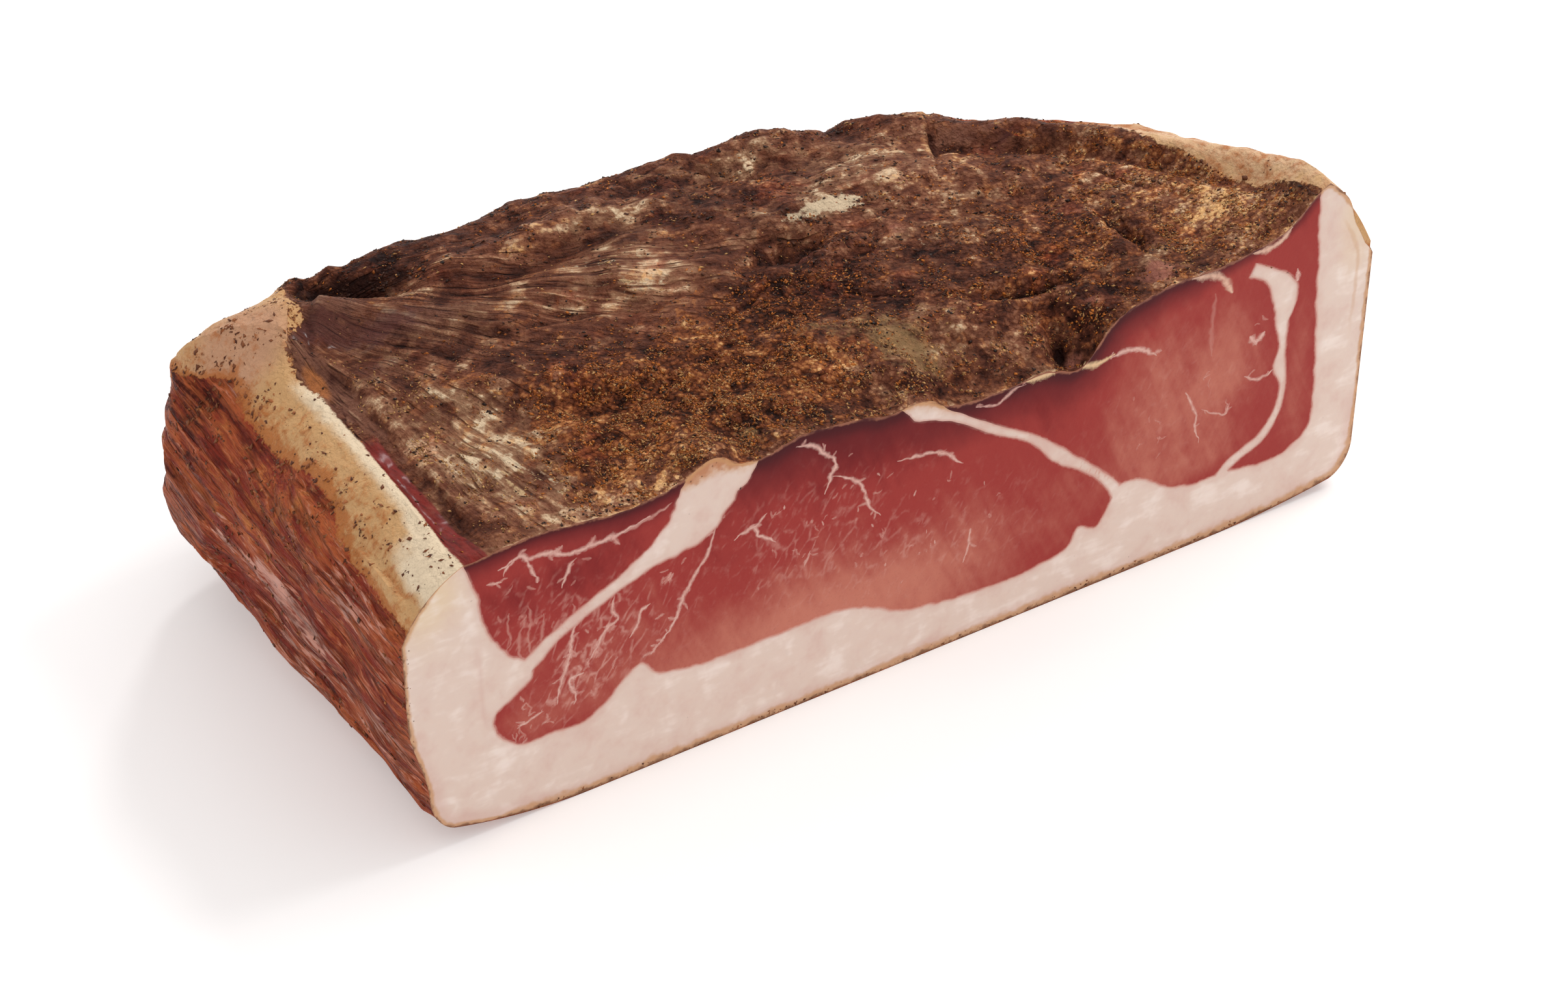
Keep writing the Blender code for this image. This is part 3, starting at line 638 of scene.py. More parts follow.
tone = dict(
    # lighter or deeper lean on the cut: x, z, half length, half width, turn, amount
    pale=[
        (92, 26, 42, 20, 4, 0.7), (135, 18, 36, 20, 8, 0.65), (100, 24, 50, 8, -3, 0.25),
        (115, 66, 36, 12, 0, -0.45), (150, 40, 14, 12, 0, 0.15), (80, 50, 10, 14, 30, -0.15),
        (40, 64, 26, 8, 0, -0.45), (25, 48, 10, 8, 30, 0.22), (34, 50, 10, 8, 30, -0.05),
        (46, 40, 18, 12, 50, 0.25), (30, 29, 12, 8, 0, 0.4), (62, 54, 10, 8, 40, 0.1),
        (208, 50, 26, 22, 0, 0.75), (226, 56, 8, 20, 0, 0.35), (215, 26, 30, 7, 0, 0.35),
        (195, 36, 14, 10, 0, 0.15), (172, 60, 14, 10, -20, -0.35), (247, 45, 4, 28, 0, 0.4),
        (244, 88, 6, 6, 0, -0.2),
    ],
    # how far down the dark dried rim reaches along the cut
    rimReach=[
        (0, 4.2), (60, 5), (78, 6.8), (95, 10), (130, 10), (160, 8.5), (185, 8), (205, 6.5), (225, 2.6),
        (250, 2.2),
    ],
    # how dense the fine marbling is
    fine=[
        (30, 56, 16, 13, 0, 0.52), (45, 38, 20, 13, 45, 0.85), (100, 50, 32, 18, 0, 0.5),
        (140, 32, 32, 14, 0, 0.42), (210, 48, 26, 22, 0, 0.24),
    ],
)
# What tells the cut's faces and points from the skin's, and how many points the lines round it have
cutFace = dict(
    depth=0.6, facing=-0.75, rayFacing=-0.5, near=1.0,
    topPoints=240, longPoints=220, highPoints=160,
)


def store(thing, name, values):
    kind = "FLOAT_VECTOR" if values.ndim == 2 else "FLOAT"
    layer = thing.data.attributes.new(name, kind, "POINT")
    layer.data.foreach_set("vector" if values.ndim == 2 else "value", values.ravel())


def finishPiece(thing, kinds, materials, sharp=48):
    # each face has the material of its kind, and the edge between cut and skin stays sharp
    mesh = thing.data
    mesh.materials.clear()
    for material in materials:
        mesh.materials.append(material)
    mesh.polygons.foreach_set("material_index", kinds.astype(np.int32))
    mesh.shade_smooth()
    mesh.set_sharp_from_angle(angle=math.radians(sharp))
    mesh.transform(Matrix.Translation(shift))
    mesh.update()


def faceKinds(thing):
    # 0 on the cut, 1 on the skin
    depth = readAll(thing.data.polygons, "center")[:, 1] / mm
    facing = readAll(thing.data.polygons, "normal")[:, 1]
    return 1 - ((depth < cutFace["depth"]) & (facing < cutFace["facing"]))


# Shader building: a term is a socket that takes part in sums

noiseGain = 3.4      # spreads a noise texture's usual values over about -1 to 1


class Term:
    def __init__(self, graph, socket):
        self.graph, self.socket = graph, socket

    def maths(self, operation, other=0.0, swap=False):
        pair = (other, self) if swap else (self, other)
        return self.graph.node("ShaderNodeMath", {"operation": operation}, {0: pair[0], 1: pair[1]})

    def __add__(self, other):
        return self.maths("ADD", other)

    def __sub__(self, other):
        return self.maths("SUBTRACT", other)

    def __rsub__(self, other):
        return self.maths("SUBTRACT", other, True)

    def __mul__(self, other):
        return self.maths("MULTIPLY", other)

    def __truediv__(self, other):
        return self.maths("DIVIDE", other)

    __radd__, __rmul__ = __add__, __mul__

    def atMost(self, most):
        return self.maths("MINIMUM", most)

    def size(self):
        return self.maths("ABSOLUTE")

    def between(self, low, high):
        # soft step from 0 at low to 1 at high, falling where low is the larger
        return self.graph.node(
            "ShaderNodeMapRange", {"interpolation_type": "SMOOTHSTEP"}, {0: self, 1: low, 2: high}, "Result")


class Graph:
    def __init__(self, name, **fixed):
        self.material = bpy.data.materials.new(name)
        self.material.use_nodes = True
        self.tree = self.material.node_tree
        self.shader = self.tree.nodes["Principled BSDF"]
        self.finish(**fixed)

    def finish(self, **inputs):
        for socket, value in inputs.items():
            self.plug(self.shader.inputs[socket.replace("_", " ")], value)
        return self.material

    def plug(self, socket, value):
        if isinstance(value, Term):
            self.tree.links.new(value.socket, socket)
        elif isinstance(value, tuple) and len(value) == 3 and socket.type == "RGBA":
            socket.default_value = (*value, 1)
        else:
            socket.default_value = value

    def node(self, kind, settings, sockets, out=0):
        made = self.tree.nodes.new(kind)
        for name, value in settings.items():
            setattr(made, name, value)
        for name, value in sockets.items():
            self.plug(made.inputs[name], value)
        return Term(self, made.outputs[out])

    def value(self, name, out="Fac"):
        return self.node("ShaderNodeAttribute", {"attribute_name": name}, {}, out)

    def vector(self, operation, a, b=None, **sockets):
        ends = {0: a} if b is None else {0: a, 1: b}
        return self.node("ShaderNodeVectorMath", {"operation": operation}, {**ends, **sockets})

    def place(self, scale=(1, 1, 1), turn=(0, 0, 0)):
        # the point in millimetres, turned and then stretched
        here = self.node("ShaderNodeTexCoord", {}, {}, "Object")
        if any(turn):
            here = self.node(
                "ShaderNodeVectorRotate", {"rotation_type": "EULER_XYZ"},
                {"Vector": here, "Rotation": tuple(math.radians(t) for t in turn)})
        return self.vector("MULTIPLY", here, tuple(s / mm for s in scale))

    def noise(self, where, size, detail=3.0, roughness=0.55, out="Fac"):
        sockets = {"Vector": where, "Scale": 1 / size, "Detail": detail, "Roughness": roughness}
        return self.node("ShaderNodeTexNoise", {}, sockets, out)

    def vary(self, where, size, detail=3.0, roughness=0.55):
        # noise about zero
        return (self.noise(where, size, detail, roughness) - 0.5) * noiseGain

    def shift(self, where, by, amount):
        # moves texture places about, so that patterns wander
        off = self.vector("SUBTRACT", self.noise(where, by, 2.0, 0.5, "Color"), (0.5, 0.5, 0.5))
        return self.vector("ADD", where, self.vector("SCALE", off, Scale=amount))

    def cells(self, where, size, feature="F1", out="Distance"):
        sockets = {"Vector": where, "Scale": 1 / size}
        return self.node("ShaderNodeTexVoronoi", {"feature": feature}, sockets, out)

    def channel(self, colour, k):
        # one channel of a colour, about zero
        return self.node("ShaderNodeSeparateColor", {}, {0: colour}, k) * 2.0 - 1.0

    def mix(self, share, a, b, blend="MIX"):
        settings = {"data_type": "RGBA", "blend_type": blend}
        return self.node("ShaderNodeMix", settings, {0: share, 6: a, 7: b}, 2)

    def blend(self, level, places, colours):
        # colours from dark to light, each at its place
        made = self.node("ShaderNodeValToRGB", {}, {0: level})
        stops = made.socket.node.color_ramp.elements
        for k, (place, colour) in enumerate(zip(places, colours)):
            stop = stops[k] if k < len(stops) else stops.new(place)
            stop.position, stop.color = place, (*colour, 1)
        return made

    def lay(self, base, *coats):
        # coats of colour over a base, one after another: how much, and which colour
        for share, colour in coats:
            base = self.mix(share, base, colour)
        return base

    def bump(self, height, distance, strength=1.0):
        sockets = {"Height": height, "Distance": distance * mm, "Strength": strength}
        return self.node("ShaderNodeBump", {}, sockets, "Normal")


# Materials

leanCut = dict(
    deep=(0.180, 0.011, 0.012), red=(0.315, 0.036, 0.030), rose=(0.51, 0.170, 0.118), vein=(0.64, 0.34, 0.28),
    rim=(0.040, 0.005, 0.008), deepRim=(0.105, 0.008, 0.011), lip=(0.330, 0.130, 0.075),
    ior=1.42, roughness=0.42, specular=0.12, subsurface=0.10, radius=(0.9, 0.3, 0.2), reach=1.5, relief=0.05,
)
crustLook = dict(
    # dark to light at these levels, for warm, red-brown and grey places
    levels=(0.0, 0.28, 0.52, 0.76, 1.0),
    warm=[(0.014, 0.003, 0.001), (0.080, 0.020, 0.007), (0.200, 0.056, 0.019), (0.40, 0.152, 0.050),
          (0.76, 0.43, 0.18)],
    brown=[(0.012, 0.003, 0.002), (0.062, 0.018, 0.010), (0.130, 0.041, 0.021), (0.255, 0.104, 0.056),
           (0.58, 0.35, 0.20)],
    grey=[(0.032, 0.011, 0.006), (0.100, 0.036, 0.020), (0.170, 0.072, 0.038), (0.31, 0.165, 0.090),
          (0.70, 0.52, 0.34)],
    reddish=(1.06, 0.68, 0.64), bare=(0.190, 0.015, 0.011), bareDark=(0.070, 0.007, 0.006),
    orange=(0.42, 0.135, 0.034), purple=(0.085, 0.020, 0.016), olive=(0.250, 0.150, 0.066),
    white=(0.62, 0.48, 0.32), flaky=(0.54, 0.36, 0.19), pit=(0.012, 0.004, 0.003), pink=(0.33, 0.120, 0.085),
    tissue=(0.185, 0.076, 0.048), tissueDark=(0.070, 0.022, 0.016), tissuePale=(0.360, 0.200, 0.125),
)
fatCut = dict(
    fat=(0.700, 0.545, 0.465), cream=(0.72, 0.545, 0.355), pink=(0.61, 0.385, 0.325),
    milky=(0.83, 0.710, 0.640), rind=(0.53, 0.270, 0.115), rindDark=(0.15, 0.052, 0.020),
    leanEdge=(0.58, 0.27, 0.21), browned=(0.57, 0.320, 0.190), rust=(0.42, 0.140, 0.045),
    ior=1.45, roughness=0.34, specular=0.30, subsurface=0.20, radius=(1.0, 0.7, 0.5), reach=1.5, relief=0.06,
)
# the mauve is a reflection painted onto the wet rind, a painted sheen
rindLook = dict(
    copper=(0.385, 0.090, 0.030), red=(0.205, 0.026, 0.014), dark=(0.045, 0.008, 0.005),
    paintedSheen=(0.55, 0.245, 0.175), ochre=(0.53, 0.195, 0.046),
)
bandLook = dict(
    cream=(0.565, 0.325, 0.148), white=(0.76, 0.61, 0.43), pink=(0.50, 0.265, 0.168),
    stain=(0.40, 0.125, 0.032), brown=(0.150, 0.040, 0.018), deep=(0.54, 0.255, 0.088),
    amber=(0.70, 0.475, 0.300),
)
skinLook = dict(specular=0.05, coatRoughness=0.20, relief=1.15)


def cutGraph(name, look):
    # moist flesh or fat that lets some light in
    return Graph(
        name, IOR=look["ior"], Specular_IOR_Level=look["specular"], Subsurface_Weight=look["subsurface"],
        Subsurface_Radius=look["radius"], Subsurface_Scale=look["reach"] * mm)


def leanCutMaterial():
    look = leanCut
    g = cutGraph("lean_cut", look)
    here = g.place()
    soft, mid, small = g.vary(here, 15.0), g.vary(here, 4.0), g.vary(here, 1.3, 2.0)
    fibre = g.vary(g.place((1, 1, 0.20), (0, -18, 0)), 1.4, 3.0, 0.6)
    arcs = g.vary(g.shift(g.place((1, 1, 0.16), (0, 24, 0)), 12.0, 5.0), 3.4, 2.0)
    level = g.value("pale") + soft * 0.20 + mid * 0.10 + fibre * 0.06 + arcs * 0.17
    # marbling finer than the modelled strips: lobules with soft pale seams, and flecks
    fine = g.value("fine")
    wander = g.shift(g.place((1, 1, 0.42), (0, -30, 0)), 3.0, 2.2)
    net = g.cells(wander, 2.6, "DISTANCE_TO_EDGE").between(0.16, 0.0)
    veins = net * (g.vary(here, 3.0) + fine * 0.7).between(0.0, 1.0) * fine
    flecks = g.vary(g.place((1, 1, 0.6), (0, -25, 0)), 0.9, 2.0, 0.5) + fine * 0.25
    veins = (veins * 0.72 + flecks.between(0.70, 1.20) * fine * 0.28).atMost(0.70)
    edge = (g.value("near_fat") + small * 0.20 + mid * 0.10).between(0.65, 0.0)
    # the dried dark rim under the crust, and its pale lip
    under = g.value("under_crust")
    depth = under / (g.value("rim_reach") * (g.vary(here, 9.0) * 0.22 + 1.0 + mid * 0.10))
    lip = (under + small * 0.30 + mid * 0.35).between(0.95, 0.35) * g.vary(here, 7.0).between(-0.7, 0.3)
    base = g.lay(
        g.mix(level.between(-0.75, 0.05), look["deep"], look["red"]),
        (level.between(0.10, 1.20), look["rose"]), (veins, look["vein"]), (edge * 0.60, look["vein"]),
        (g.vary(here, 0.55, 2.0, 0.6).between(0.1, 1.2) * 0.20, look["deepRim"]),
        (depth.between(1.7, 0.20) * 0.86, look["deepRim"]), (depth.between(0.60, 0.04) * 0.80, look["rim"]),
        (lip * 0.80, look["lip"]))
    normal = g.bump(fibre * 0.4 + small * 0.4, look["relief"], 0.5)
    return g.finish(Base_Color=base, Roughness=soft * 0.05 + look["roughness"], Normal=normal)


def crustParts(g, here, big, mid, small):
    # colour, wetness and height of the crust
    look = crustLook
    rusty, fanned, hollow = g.value("rusty"), g.value("fanned"), g.value("hollow")
    tiny = g.vary(here, 0.5, 2.0, 0.6)
    fan = g.shift(g.value("fan", "Vector"), 14.0, 5.0)
    streak, fineStreak = g.vary(fan, 3.2, 3.0, 0.6), g.vary(fan, 1.0, 3.0, 0.6)
    smoothed = (g.value("tissue") + mid * 0.25 + small * 0.10).between(0.25, 0.75)
    coarse = (rusty + mid * 0.30 + big * 0.25).between(-0.2, 0.7) * 0.55 + 0.45
    grainy = (1.0 - fanned * 0.75) * (1.0 - smoothed * 0.8) * coarse
    # rounded grains with dark gaps between them as painted shade, in crumbs of several
    grains = g.shift(here, 1.6, 0.7)
    rounded, lit = g.cells(grains, 1.25), g.channel(g.cells(grains, 1.25, "F1", "Color"), 0)
    chunks = g.cells(g.shift(here, 3.0, 3.2), 3.2, "F1", "Color")
    chunk, hue = g.channel(chunks, 0), g.channel(chunks, 1)
    scab = g.vary(g.shift(here, 6.0, 5.0), 10.0, 2.0, 0.5)
    scabs = scab.between(0.15, 0.40) - scab.between(-0.15, -0.45)
    # long folds that leave the corner where the creases meet, with cracks along them painted darker as
    # painted shade
    folds = g.vary(g.shift(fan, 20.0, 6.0), 7.0, 2.0, 0.5)
    crack = folds.size().between(0.10, 0.0) * (mid * 0.5 + 0.5).between(0.3, 0.8)
    fibres = g.vary(g.shift(g.place((0.30, 1, 1), (0, 0, 14)), 9.0, 3.0), 1.5, 3.0, 0.62) * (1.0 - fanned)
    # painted shade: darker in the gaps between the grains
    level = small * 0.26 + tiny * 0.10 + lit * 0.36 - rounded.between(0.36, 0.66) * 0.50 + 0.14 + chunk * 0.16
    level = level * grainy + mid * 0.50 + fibres * (1.0 - coarse * 0.6) * 0.75 - rusty * 0.16
    # painted shade: the crust is darker along the cracks of the folds
    level = level + (streak * 0.66 + fineStreak * 0.62 + 0.14) * fanned - crack * (fanned * 0.6 + 0.4) * 1.1
    # painted shade: the crust is darker in the dips of its surface
    level = level + scabs * 0.34 + big * 0.22 + folds * 0.16 + g.value("light") * 1.3 - hollow * 0.36
    shade = level * 0.44 + 0.45
    brown, warm, grey = (g.blend(shade, look["levels"], look[k]) for k in ("brown", "warm", "grey"))
    warmth = rusty + big * 0.30 + mid * 0.22 + lit * 0.20 + hue * 0.30
    greyness = g.value("grey") - big * 0.30 + mid * 0.22 - lit * 0.10 - hue * 0.20 + scabs * 0.25
    base = g.lay(brown, (warmth.between(0.15, 0.85), warm), (greyness.between(0.25, 0.90), grey))
    reddish = g.vary(g.shift(here, 5.0, 4.0), 12.0, 3.0, 0.5).between(0.1, 0.9)
    reddish = reddish * (1.0 - greyness.between(0.4, 1.0)) * 0.75
    base = g.mix(reddish, base, look["reddish"], "MULTIPLY")
    # places of other colours, the pale flaky scales and the smooth tissue
    olive = (g.value("olive") + mid * 0.30 + small * 0.12).between(0.35, 0.80)
    pink = (g.value("pinks") + mid * 0.35).between(0.35, 0.80)
    patch = (g.value("white") + small * 0.30 + mid * 0.40 + fineStreak * 0.30).between(0.55, 0.95)
    drawn = g.vary(g.shift(fan, 6.0, 2.0), 1.1, 2.0, 0.5) * fanned + g.vary(here, 1.4, 2.0, 0.5) * grainy
    scale = (drawn * 1.10 + mid * 0.22 + tiny * 0.20 + g.value("scales") - 0.7).between(0.50, 0.80)
    # the smooth tissue is painted darker in the dips and along the cracks, as painted shade
    skin = streak * 0.75 + fineStreak * 0.70 + mid * 0.45 - hollow * 0.3 - crack * 0.8
    tissue = g.mix(skin.between(-0.9, 0.1), look["tissueDark"], look["tissue"])
    tissue = g.mix(skin.between(0.3, 1.1) * 0.8, tissue, look["tissuePale"])
    # painted shade: near-black in the pits, cracks and cleft, and in holes between the crumbs of the rusty
    # places
    holes = g.vary(g.shift(here, 3.0, 2.5), 4.2, 2.0, 0.5).between(0.62, 1.05) * rusty
    pit = (g.value("pit") + small * 0.22 + mid * 0.15 + holes * 0.55).between(0.40, 1.10)
    purple = (g.value("purple") + mid * 0.35 + small * 0.10).between(0.35, 0.75)
    # the strip left bare along the band
    bare = (g.value("bare") + fineStreak * 0.16 + mid * 0.14).between(0.30, 0.70)
    alongBand = g.vary(g.place((1, 0.12, 1), (0, 0, -4)), 1.3, 3.0, 0.6)
    strip = g.mix(alongBand.between(-1.0, 0.5), look["bareDark"], look["bare"])
    strip = g.mix(alongBand.between(0.75, 1.3) * 0.8, strip, look["white"])
    orange = (g.value("orange") + mid * 0.2).between(0.35, 0.75)
    base = g.lay(
        base, (olive * 0.75, look["olive"]), (pink * 0.7, look["pink"]), (patch * 0.90, look["white"]),
        (scale * 0.80, look["flaky"]), (smoothed * 0.88, tissue), (pit * 0.80, look["pit"]),
        (purple * 0.75, look["purple"]), (bare * 0.95, strip), (orange * 0.85, look["orange"]))
    wet = bare * 0.12 + purple * 0.15 + orange * 0.25 + skin.between(0.8, 1.3) * smoothed * 0.3
    height = mid * 0.45 + small * 0.20 + tiny * 0.06 + chunk * 0.10 + scabs * 0.12 - rounded * grainy * 0.6
    height = height + fibres * 0.16 + (streak * 0.40 + fineStreak * 0.26) * fanned - crack * 0.7
    return base, wet.atMost(0.8), height * (1.0 - bare * 0.7)


def rindParts(g, here, big, mid, small):
    # smoked skin in long creases from the cut to the back
    look = rindLook
    run = g.shift(g.place((1, 0.13, 1), (-5, 0, 0)), 11.0, 4.0)
    crease, fineCrease = g.vary(run, 4.2, 4.0, 0.6), g.vary(run, 1.4, 3.0, 0.6)
    hair = g.vary(run, 0.55, 2.0, 0.6)
    groove = g.vary(g.shift(run, 5.0, 3.0), 5.5, 3.0, 0.5).size().between(0.22, 0.0)
    line = fineCrease.size().between(0.14, 0.0)
    level = crease * 0.95 + fineCrease * 0.50 + hair * 0.30 + big * 0.40 + mid * 0.15
    ochre = g.value("ochre") + mid * 0.30 + level * 0.4
    # painted sheen: streaks of mauve painted reflection, which also make the rind wetter
    sheen = crease * 0.50 + fineCrease * 0.75 + hair * 0.50 + g.value("paintedSheen") - big * 0.15
    orange = (fineCrease * 0.6 - crease * 0.5 + mid * 0.4 + big * 0.2).between(0.40, 1.0)
    # painted shade: the rind is darker in the valleys of its creases, in its grooves and along fine lines;
    # the rest of this darkening is tone that differs, with more of it towards the back and the foot
    shadeAndTone = mid * 0.30 + small * 0.22 + big * 0.20 - crease * 0.70 - fineCrease * 0.45 + g.value("backFootDarkening")
    dark = (shadeAndTone.between(0.45, 1.35) + groove * 0.44 + line * 0.20).atMost(0.92)
    base = g.lay(
        g.mix(level.between(-0.55, 0.40), look["red"], look["copper"]),
        (ochre.between(0.35, 1.0) * 0.80, look["ochre"]), (sheen.between(0.30, 1.05) * 0.85, look["paintedSheen"]),
        (orange * 0.65, look["ochre"]), (dark, look["dark"]))
    wet = sheen.between(0.50, 1.1) * 0.50 + orange * 0.40
    height = crease * 0.50 + fineCrease * 0.20 + hair * 0.07 + mid * 0.12 - groove * 0.45 - line * 0.10
    return base, wet.atMost(0.8), height


def bandParts(g, here, big, mid, small):
    # the smoked fat on top: cream with stains, whiter along the lean
    look = bandLook
    mottle = g.vary(g.shift(here, 3.0, 2.0), 3.2, 4.0, 0.68)
    blot = g.vary(g.shift(here, 2.0, 1.5), 1.6, 3.0, 0.65)
    drawn, stained = g.vary(g.place((1, 0.25, 1)), 2.2, 3.0, 0.6), g.value("stained")
    white = (g.value("whiter") + mid * 0.20 + drawn * 0.12).between(0.25, 0.95)
    stain = mottle * 0.66 + drawn * 0.32 + big * 0.20 + stained * 0.95 + g.value("wall") * 1.6 - white * 0.60
    brown = blot * 0.60 + mottle * 0.35 + stained * 0.45 - white * 0.40
    base = g.lay(
        look["cream"],
        ((mottle * 0.6 + big * 0.5).between(-0.2, 1.0) * 0.7, look["deep"]),
        ((g.value("pinkish") + big * 0.20).between(0.2, 0.8) * 0.8, look["pink"]),
        ((g.value("amber") + mottle * 0.45 + mid * 0.20).between(0.2, 1.1) * 0.90, look["amber"]),
        (white * 0.92, look["white"]), (stain.between(0.10, 0.85) * 0.85, look["stain"]),
        (brown.between(0.60, 0.95) * 0.85, look["brown"]))
    wet = mottle.between(0.3, 1.1) * 0.5
    return base, wet, mottle * 0.20 + blot * 0.16 + mid * 0.20 + small * 0.10


def skinMaterial():
    # one look round the outside: rind on the walls, the fat band and the rim on top, and the crust
    look = skinLook
    g = Graph("skin", IOR=1.46, Specular_IOR_Level=look["specular"], Coat_Roughness=look["coatRoughness"])
    here = g.place()
    big, mid = g.vary(here, 20.0), g.vary(here, 5.0, 4.0, 0.6)
    small = g.vary(g.shift(here, 2.0, 1.0), 1.25, 3.0, 0.6)
    crust, rind, band = (part(g, here, big, mid, small) for part in (crustParts, rindParts, bandParts))
    wall = (g.value("wall") + mid * 0.20 + small * 0.12).between(0.42, 0.58)
    ragged = (mid * 1.4 + small * 0.9) * g.value("ragged") + small * 0.25
    covered = (g.value("crusted") + ragged).between(-0.35, 0.35) * (1.0 - wall)
    base = g.lay(band[0], (wall, rind[0]), (covered, crust[0]))
    seam = wall * (1.0 - wall) * 3.0 + covered * (1.0 - covered) * g.value("ragged") * 3.0
    base = g.mix((seam + small * 0.2).between(0.2, 0.8) * 0.6, base, bandLook["stain"])
    wet, height = (
        (band[k] + (rind[k] - band[k]) * wall) * (1.0 - covered) + crust[k] * covered for k in (1, 2))
    return g.finish(Base_Color=base, Roughness=small * 0.08 + 0.42 + covered * 0.12, Coat_Weight=wet,
                    Normal=g.bump(height, look["relief"]))


def fatCutMaterial():
    look = fatCut
    g = cutGraph("fat_cut", look)
    here = g.place()
    big, mid, small = g.vary(here, 26.0, 2.0), g.vary(here, 6.0), g.vary(here, 1.2)
    fine, streaks = g.vary(here, 0.7, 2.0), g.vary(g.place((0.25, 1, 1)), 2.0, 2.0)
    clouds = g.vary(g.shift(here, 8.0, 6.0), 9.0, 3.0, 0.55)
    fromLean, fromRind, browned = g.value("near_lean"), g.value("in_from_rind"), g.value("browned")
    low = fromRind.between(6.5, 1.0) * g.value("foot")
    nearness = fromLean.between(4.0, 0.0) * 0.50 + mid * 0.18 + streaks * 0.10
    # browned and spotted where a seam of fat meets the crust
    browning, depth = g.value("browning"), g.value("under_crust") - mid * 1.1 - small * 0.7
    rusty = (depth + browned * -2.6 + g.vary(here, 2.2) * 1.6).between(1.6, -1.2)
    spotted = g.cells(g.shift(here, 1.0, 0.8), 1.9).between(0.20, 0.10)
    spotted = spotted * (depth - browned * 3.5).between(2.0, -1.0)
    # the edge of the rind, a faint line inside it, and dark dots
    edge = fromRind / (g.value("rind_width") * (mid * 0.30 + 1.0))
    rim = (edge + g.vary(here, 2.6) * 0.30).between(1.35, 0.60)
    dark = (edge + g.vary(here, 2.4, 3.0) * 0.50).between(0.55, -0.05)
    inner = (fromRind - 4.6 - mid * 0.6).size().between(0.9, 0.1) * g.value("inner_line")
    dots = g.cells(g.shift(here, 1.4, 1.0), 3.1).between(0.085, 0.05) * g.vary(here, 7.0).between(0.2, 0.8)
    base = g.lay(
        look["fat"],
        ((g.value("cream") + big * 0.18 + streaks * 0.05).between(0.10, 0.95), look["cream"]),
        ((clouds + mid * 0.35 + small * 0.15).between(-0.1, 1.1) * 0.60, look["pink"]),
        ((0.0 - clouds + streaks * 0.4).between(0.0, 0.9) * 0.75, look["milky"]),
        ((low + mid * 0.15).between(0.15, 1.1) * 0.55, look["pink"]),
        (nearness.between(0.05, 0.9) * 0.55, look["pink"]), (g.value("pink_line") * 0.4, look["pink"]),
        ((fromLean + small * 0.15).between(0.80, 0.0) * 0.72, look["leanEdge"]),
        ((depth + browned * -3.0).between(3.4, -0.6) * browning * 0.92, look["browned"]),
        (rusty * browning * 0.70, look["rust"]),
        ((depth + 0.8).between(1.3, 0.0) * browning * 0.80, look["rindDark"]),
        (spotted * browning * 0.8, look["rindDark"]),
        (rim * 0.80, look["rind"]), (dark * 0.85, look["rindDark"]), (inner * 0.35, look["rind"]),
        (dots * 0.55, look["rindDark"]))
    normal = g.bump(mid * 0.6 + fine * 0.15 + streaks * 0.2, look["relief"], 0.6)
    return g.finish(Base_Color=base, Roughness=mid * 0.04 + look["roughness"] + rim * 0.15, Normal=normal)


# What each point of the lean and of the fat knows about its place

